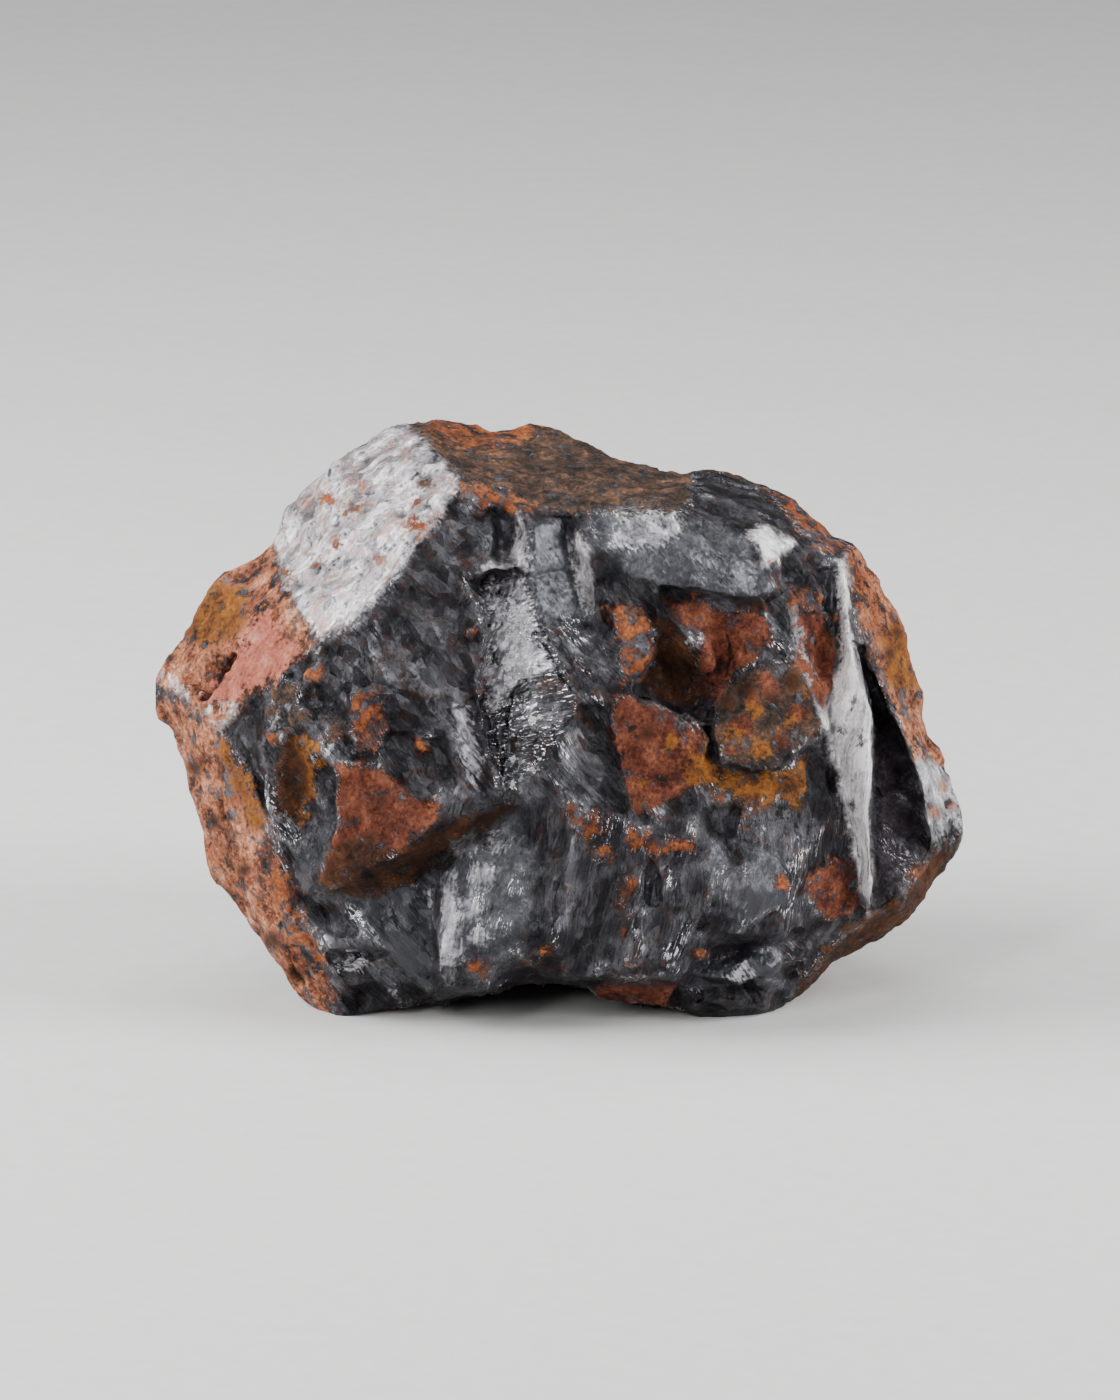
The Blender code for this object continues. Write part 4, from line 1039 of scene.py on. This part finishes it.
def fine_relief(nodes, surface, earth):
    """The shader's normal: chips and crests on metal, a finer crumb where stains are earthy."""
    crest = nodes.maths("ABSOLUTE", nodes.maths("SUBTRACT", surface.strokes, 0.5))
    metal_height = nodes.weighed(
        (surface.chip_height, 1.5), (surface.small_height, 0.4), (surface.strokes, 0.15),
        (crest, -0.7), (surface.fine, 0.12), (surface.thin, 0.15),
    )
    earth_height = nodes.weighed(
        (surface.fine, 0.45), (surface.ragged, 0.35), (surface.small_height, 0.15)
    )
    height = nodes.mix(earth, metal_height, earth_height)
    height = nodes.maths("MULTIPLY", height, nodes.mix(surface.calm, 1.0, 0.3))
    inputs = {"Height": height, "Strength": 1.0, "Distance": RELIEF_DEPTH}
    return nodes.add("ShaderNodeBump", inputs)


def hematite_material():
    """Dark streaked metal with silver faces and rust, ochre and brown stains, with painted shade in
    hollows, recesses and under the ledge, and painted glints and sheen.
    """
    material = bpy.data.materials.new("hematite")
    nodes = Nodes(material)
    surface = Surface(nodes)
    colour, roughness = bare_metal(nodes, surface)
    metallic = BODY_METAL
    earth, covered = 0.0, 0.0
    earthy_tone = nodes.weighed((surface.ragged, 0.55), (surface.fine, 0.3), (surface.patchy, 0.15))
    bright_tone = silver_tone(nodes, surface)
    for name, stain in STAINS_AND_PAINTED_LIGHT.items():
        share = finish_share(nodes, surface, name, stain)
        earthen = 1.0 - stain["metal"]
        covered = nodes.maths("MAXIMUM", covered, nodes.maths("MULTIPLY", share, earthen))
        bare = 0.5 * stain["bare"]
        share = nodes.maths("MULTIPLY", share, nodes.step(surface.holes, 0.28 + bare, 0.4 + bare))
        tone = bright_tone if name in ("silver", "pale") else earthy_tone
        shade = nodes.shades(tone, *stain["shades"])
        if name == "silver":
            blush = nodes.maths("MULTIPLY", nodes.step(surface.holes, 0.45, 0.62), 0.75)
            blush = nodes.maths("MULTIPLY", blush, surface.sloping)
            shade = nodes.mix(blush, shade, SLAB_BLUSH)
        colour = nodes.mix(share, colour, shade)
        metallic = nodes.mix(share, metallic, stain["metal"])
        roughness = nodes.mix(share, roughness, stain["roughness"])
        earth = nodes.mix(share, earth, earthen)
    # Painted shade: hollows of the relief darkened in the colour.
    shadow = nodes.maths("MULTIPLY", nodes.step(surface.hollow, 0.6, 1.2), 0.5)
    colour = nodes.mix(shadow, colour, PAINTED_HOLLOW_SHADE)
    crack = nodes.maths("MULTIPLY", nodes.step(nodes.attribute("crack"), 0.3, 1.1), 0.75)
    colour = nodes.mix(crack, colour, CRACK_DARK)
    open_metal = nodes.maths("SUBTRACT", 1.0, covered, clamp=True)
    # Painted glints: highlight colour laid on the open metal.
    glint = nodes.maths("MULTIPLY", painted_glints(nodes, surface), open_metal)
    nodes.put(nodes.shader.inputs["Base Color"], nodes.mix(glint, colour, PAINTED_GLINT))
    nodes.put(nodes.shader.inputs["Metallic"], nodes.mix(glint, metallic, GLINT_METAL))
    nodes.put(nodes.shader.inputs["Roughness"], nodes.mix(glint, roughness, GLINT_ROUGHNESS))
    nodes.put(nodes.shader.inputs["Normal"], fine_relief(nodes, surface, earth))
    nodes.shader.inputs["Specular IOR Level"].default_value = SPECULAR
    return material


FLOOR_SHADES = ((0.3, 0.68, 0.68, 0.67), (0.7, 0.72, 0.72, 0.71))
FLOOR_ROUGHNESS = 0.8


def floor_material():
    """A pale, matt sheet with the faintest speckle."""
    material = bpy.data.materials.new("floor")
    nodes = Nodes(material)
    coords = nodes.add("ShaderNodeTexCoord", output="Object")
    speckle = nodes.grain(coords, 0.004, 4.0)
    nodes.put(nodes.shader.inputs["Base Color"], nodes.shades(speckle, *FLOOR_SHADES))
    nodes.shader.inputs["Roughness"].default_value = FLOOR_ROUGHNESS
    return material


# The studio, in metres and watts.
FLOOR_REACH = 6.0
LIT_POINT = (0.0, 0.0, 0.04)
ROOM_COLOUR = (0.9, 0.93, 1.0, 1.0)
ROOM_STRENGTH = 0.1

# Each softbox's place, size and power.
SOFTBOXES = {
    "left_softbox": ((-0.62, 0.02, 0.42), (0.5, 0.6), 11.0),
    "right_softbox": ((0.62, -0.12, 0.3), (0.35, 0.5), 8.0),
    "top_softbox": ((0.0, 0.25, 0.75), (0.6, 0.4), 3.0),
    "front_strip": ((-0.42, -0.75, 0.5), (0.14, 0.5), 4.5),
}


def build_floor():
    """A wide, pale sheet that lies level under the stone."""
    reach = FLOOR_REACH
    points = [(-reach, -reach, 0.0), (reach, -reach, 0.0), (reach, reach, 0.0), (-reach, reach, 0.0)]
    mesh = bpy.data.meshes.new("floor")
    mesh.from_pydata(points, [], [(0, 1, 2, 3)])
    mesh.materials.append(floor_material())
    floor = bpy.data.objects.new("floor", mesh)
    bpy.context.scene.collection.objects.link(floor)


def build_softbox(name, place, size, power):
    light = bpy.data.lights.new(name, "AREA")
    light.shape = "RECTANGLE"
    light.size, light.size_y = size
    light.energy = power
    lamp = bpy.data.objects.new(name, light)
    lamp.location = place
    aim = Vector(LIT_POINT) - Vector(place)
    lamp.rotation_euler = aim.to_track_quat("-Z", "Y").to_euler()
    bpy.context.scene.collection.objects.link(lamp)


def build_room():
    """The dim, slightly cool light that comes from all round."""
    world = bpy.data.worlds.new("room")
    world.use_nodes = True
    background = world.node_tree.nodes["Background"]
    background.inputs["Color"].default_value = ROOM_COLOUR
    background.inputs["Strength"].default_value = ROOM_STRENGTH
    bpy.context.scene.world = world


def build_camera():
    """A long lens at the photograph's angle, with the stone where the photograph has it."""
    _, up, out = (Vector(axis) for axis in view_axes())
    origin = Vector(OUTLINE_ORIGIN_MM) / 1000
    middle = up * (PICTURE_MIDDLE_UP_MM / 1000) - origin
    camera = bpy.data.cameras.new("camera")
    camera.sensor_width = SENSOR_MM
    camera.lens = SENSOR_MM * CAMERA_DISTANCE / (PICTURE_HEIGHT_MM / 1000)
    camera.clip_end = 20.0
    holder = bpy.data.objects.new("camera", camera)
    holder.location = middle + out * CAMERA_DISTANCE
    holder.rotation_euler = (math.radians(90 - VIEW_DROP_DEG), 0.0, 0.0)
    bpy.context.scene.collection.objects.link(holder)
    bpy.context.scene.camera = holder


def main():
    stone = build_stone(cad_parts[NODE])
    stone.data.materials.clear()
    stone.data.materials.append(hematite_material())
    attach(stone, "root")
    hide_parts(NODE)
    build_floor()
    for name, box in SOFTBOXES.items():
        build_softbox(name, *box)
    build_room()
    build_camera()


main()
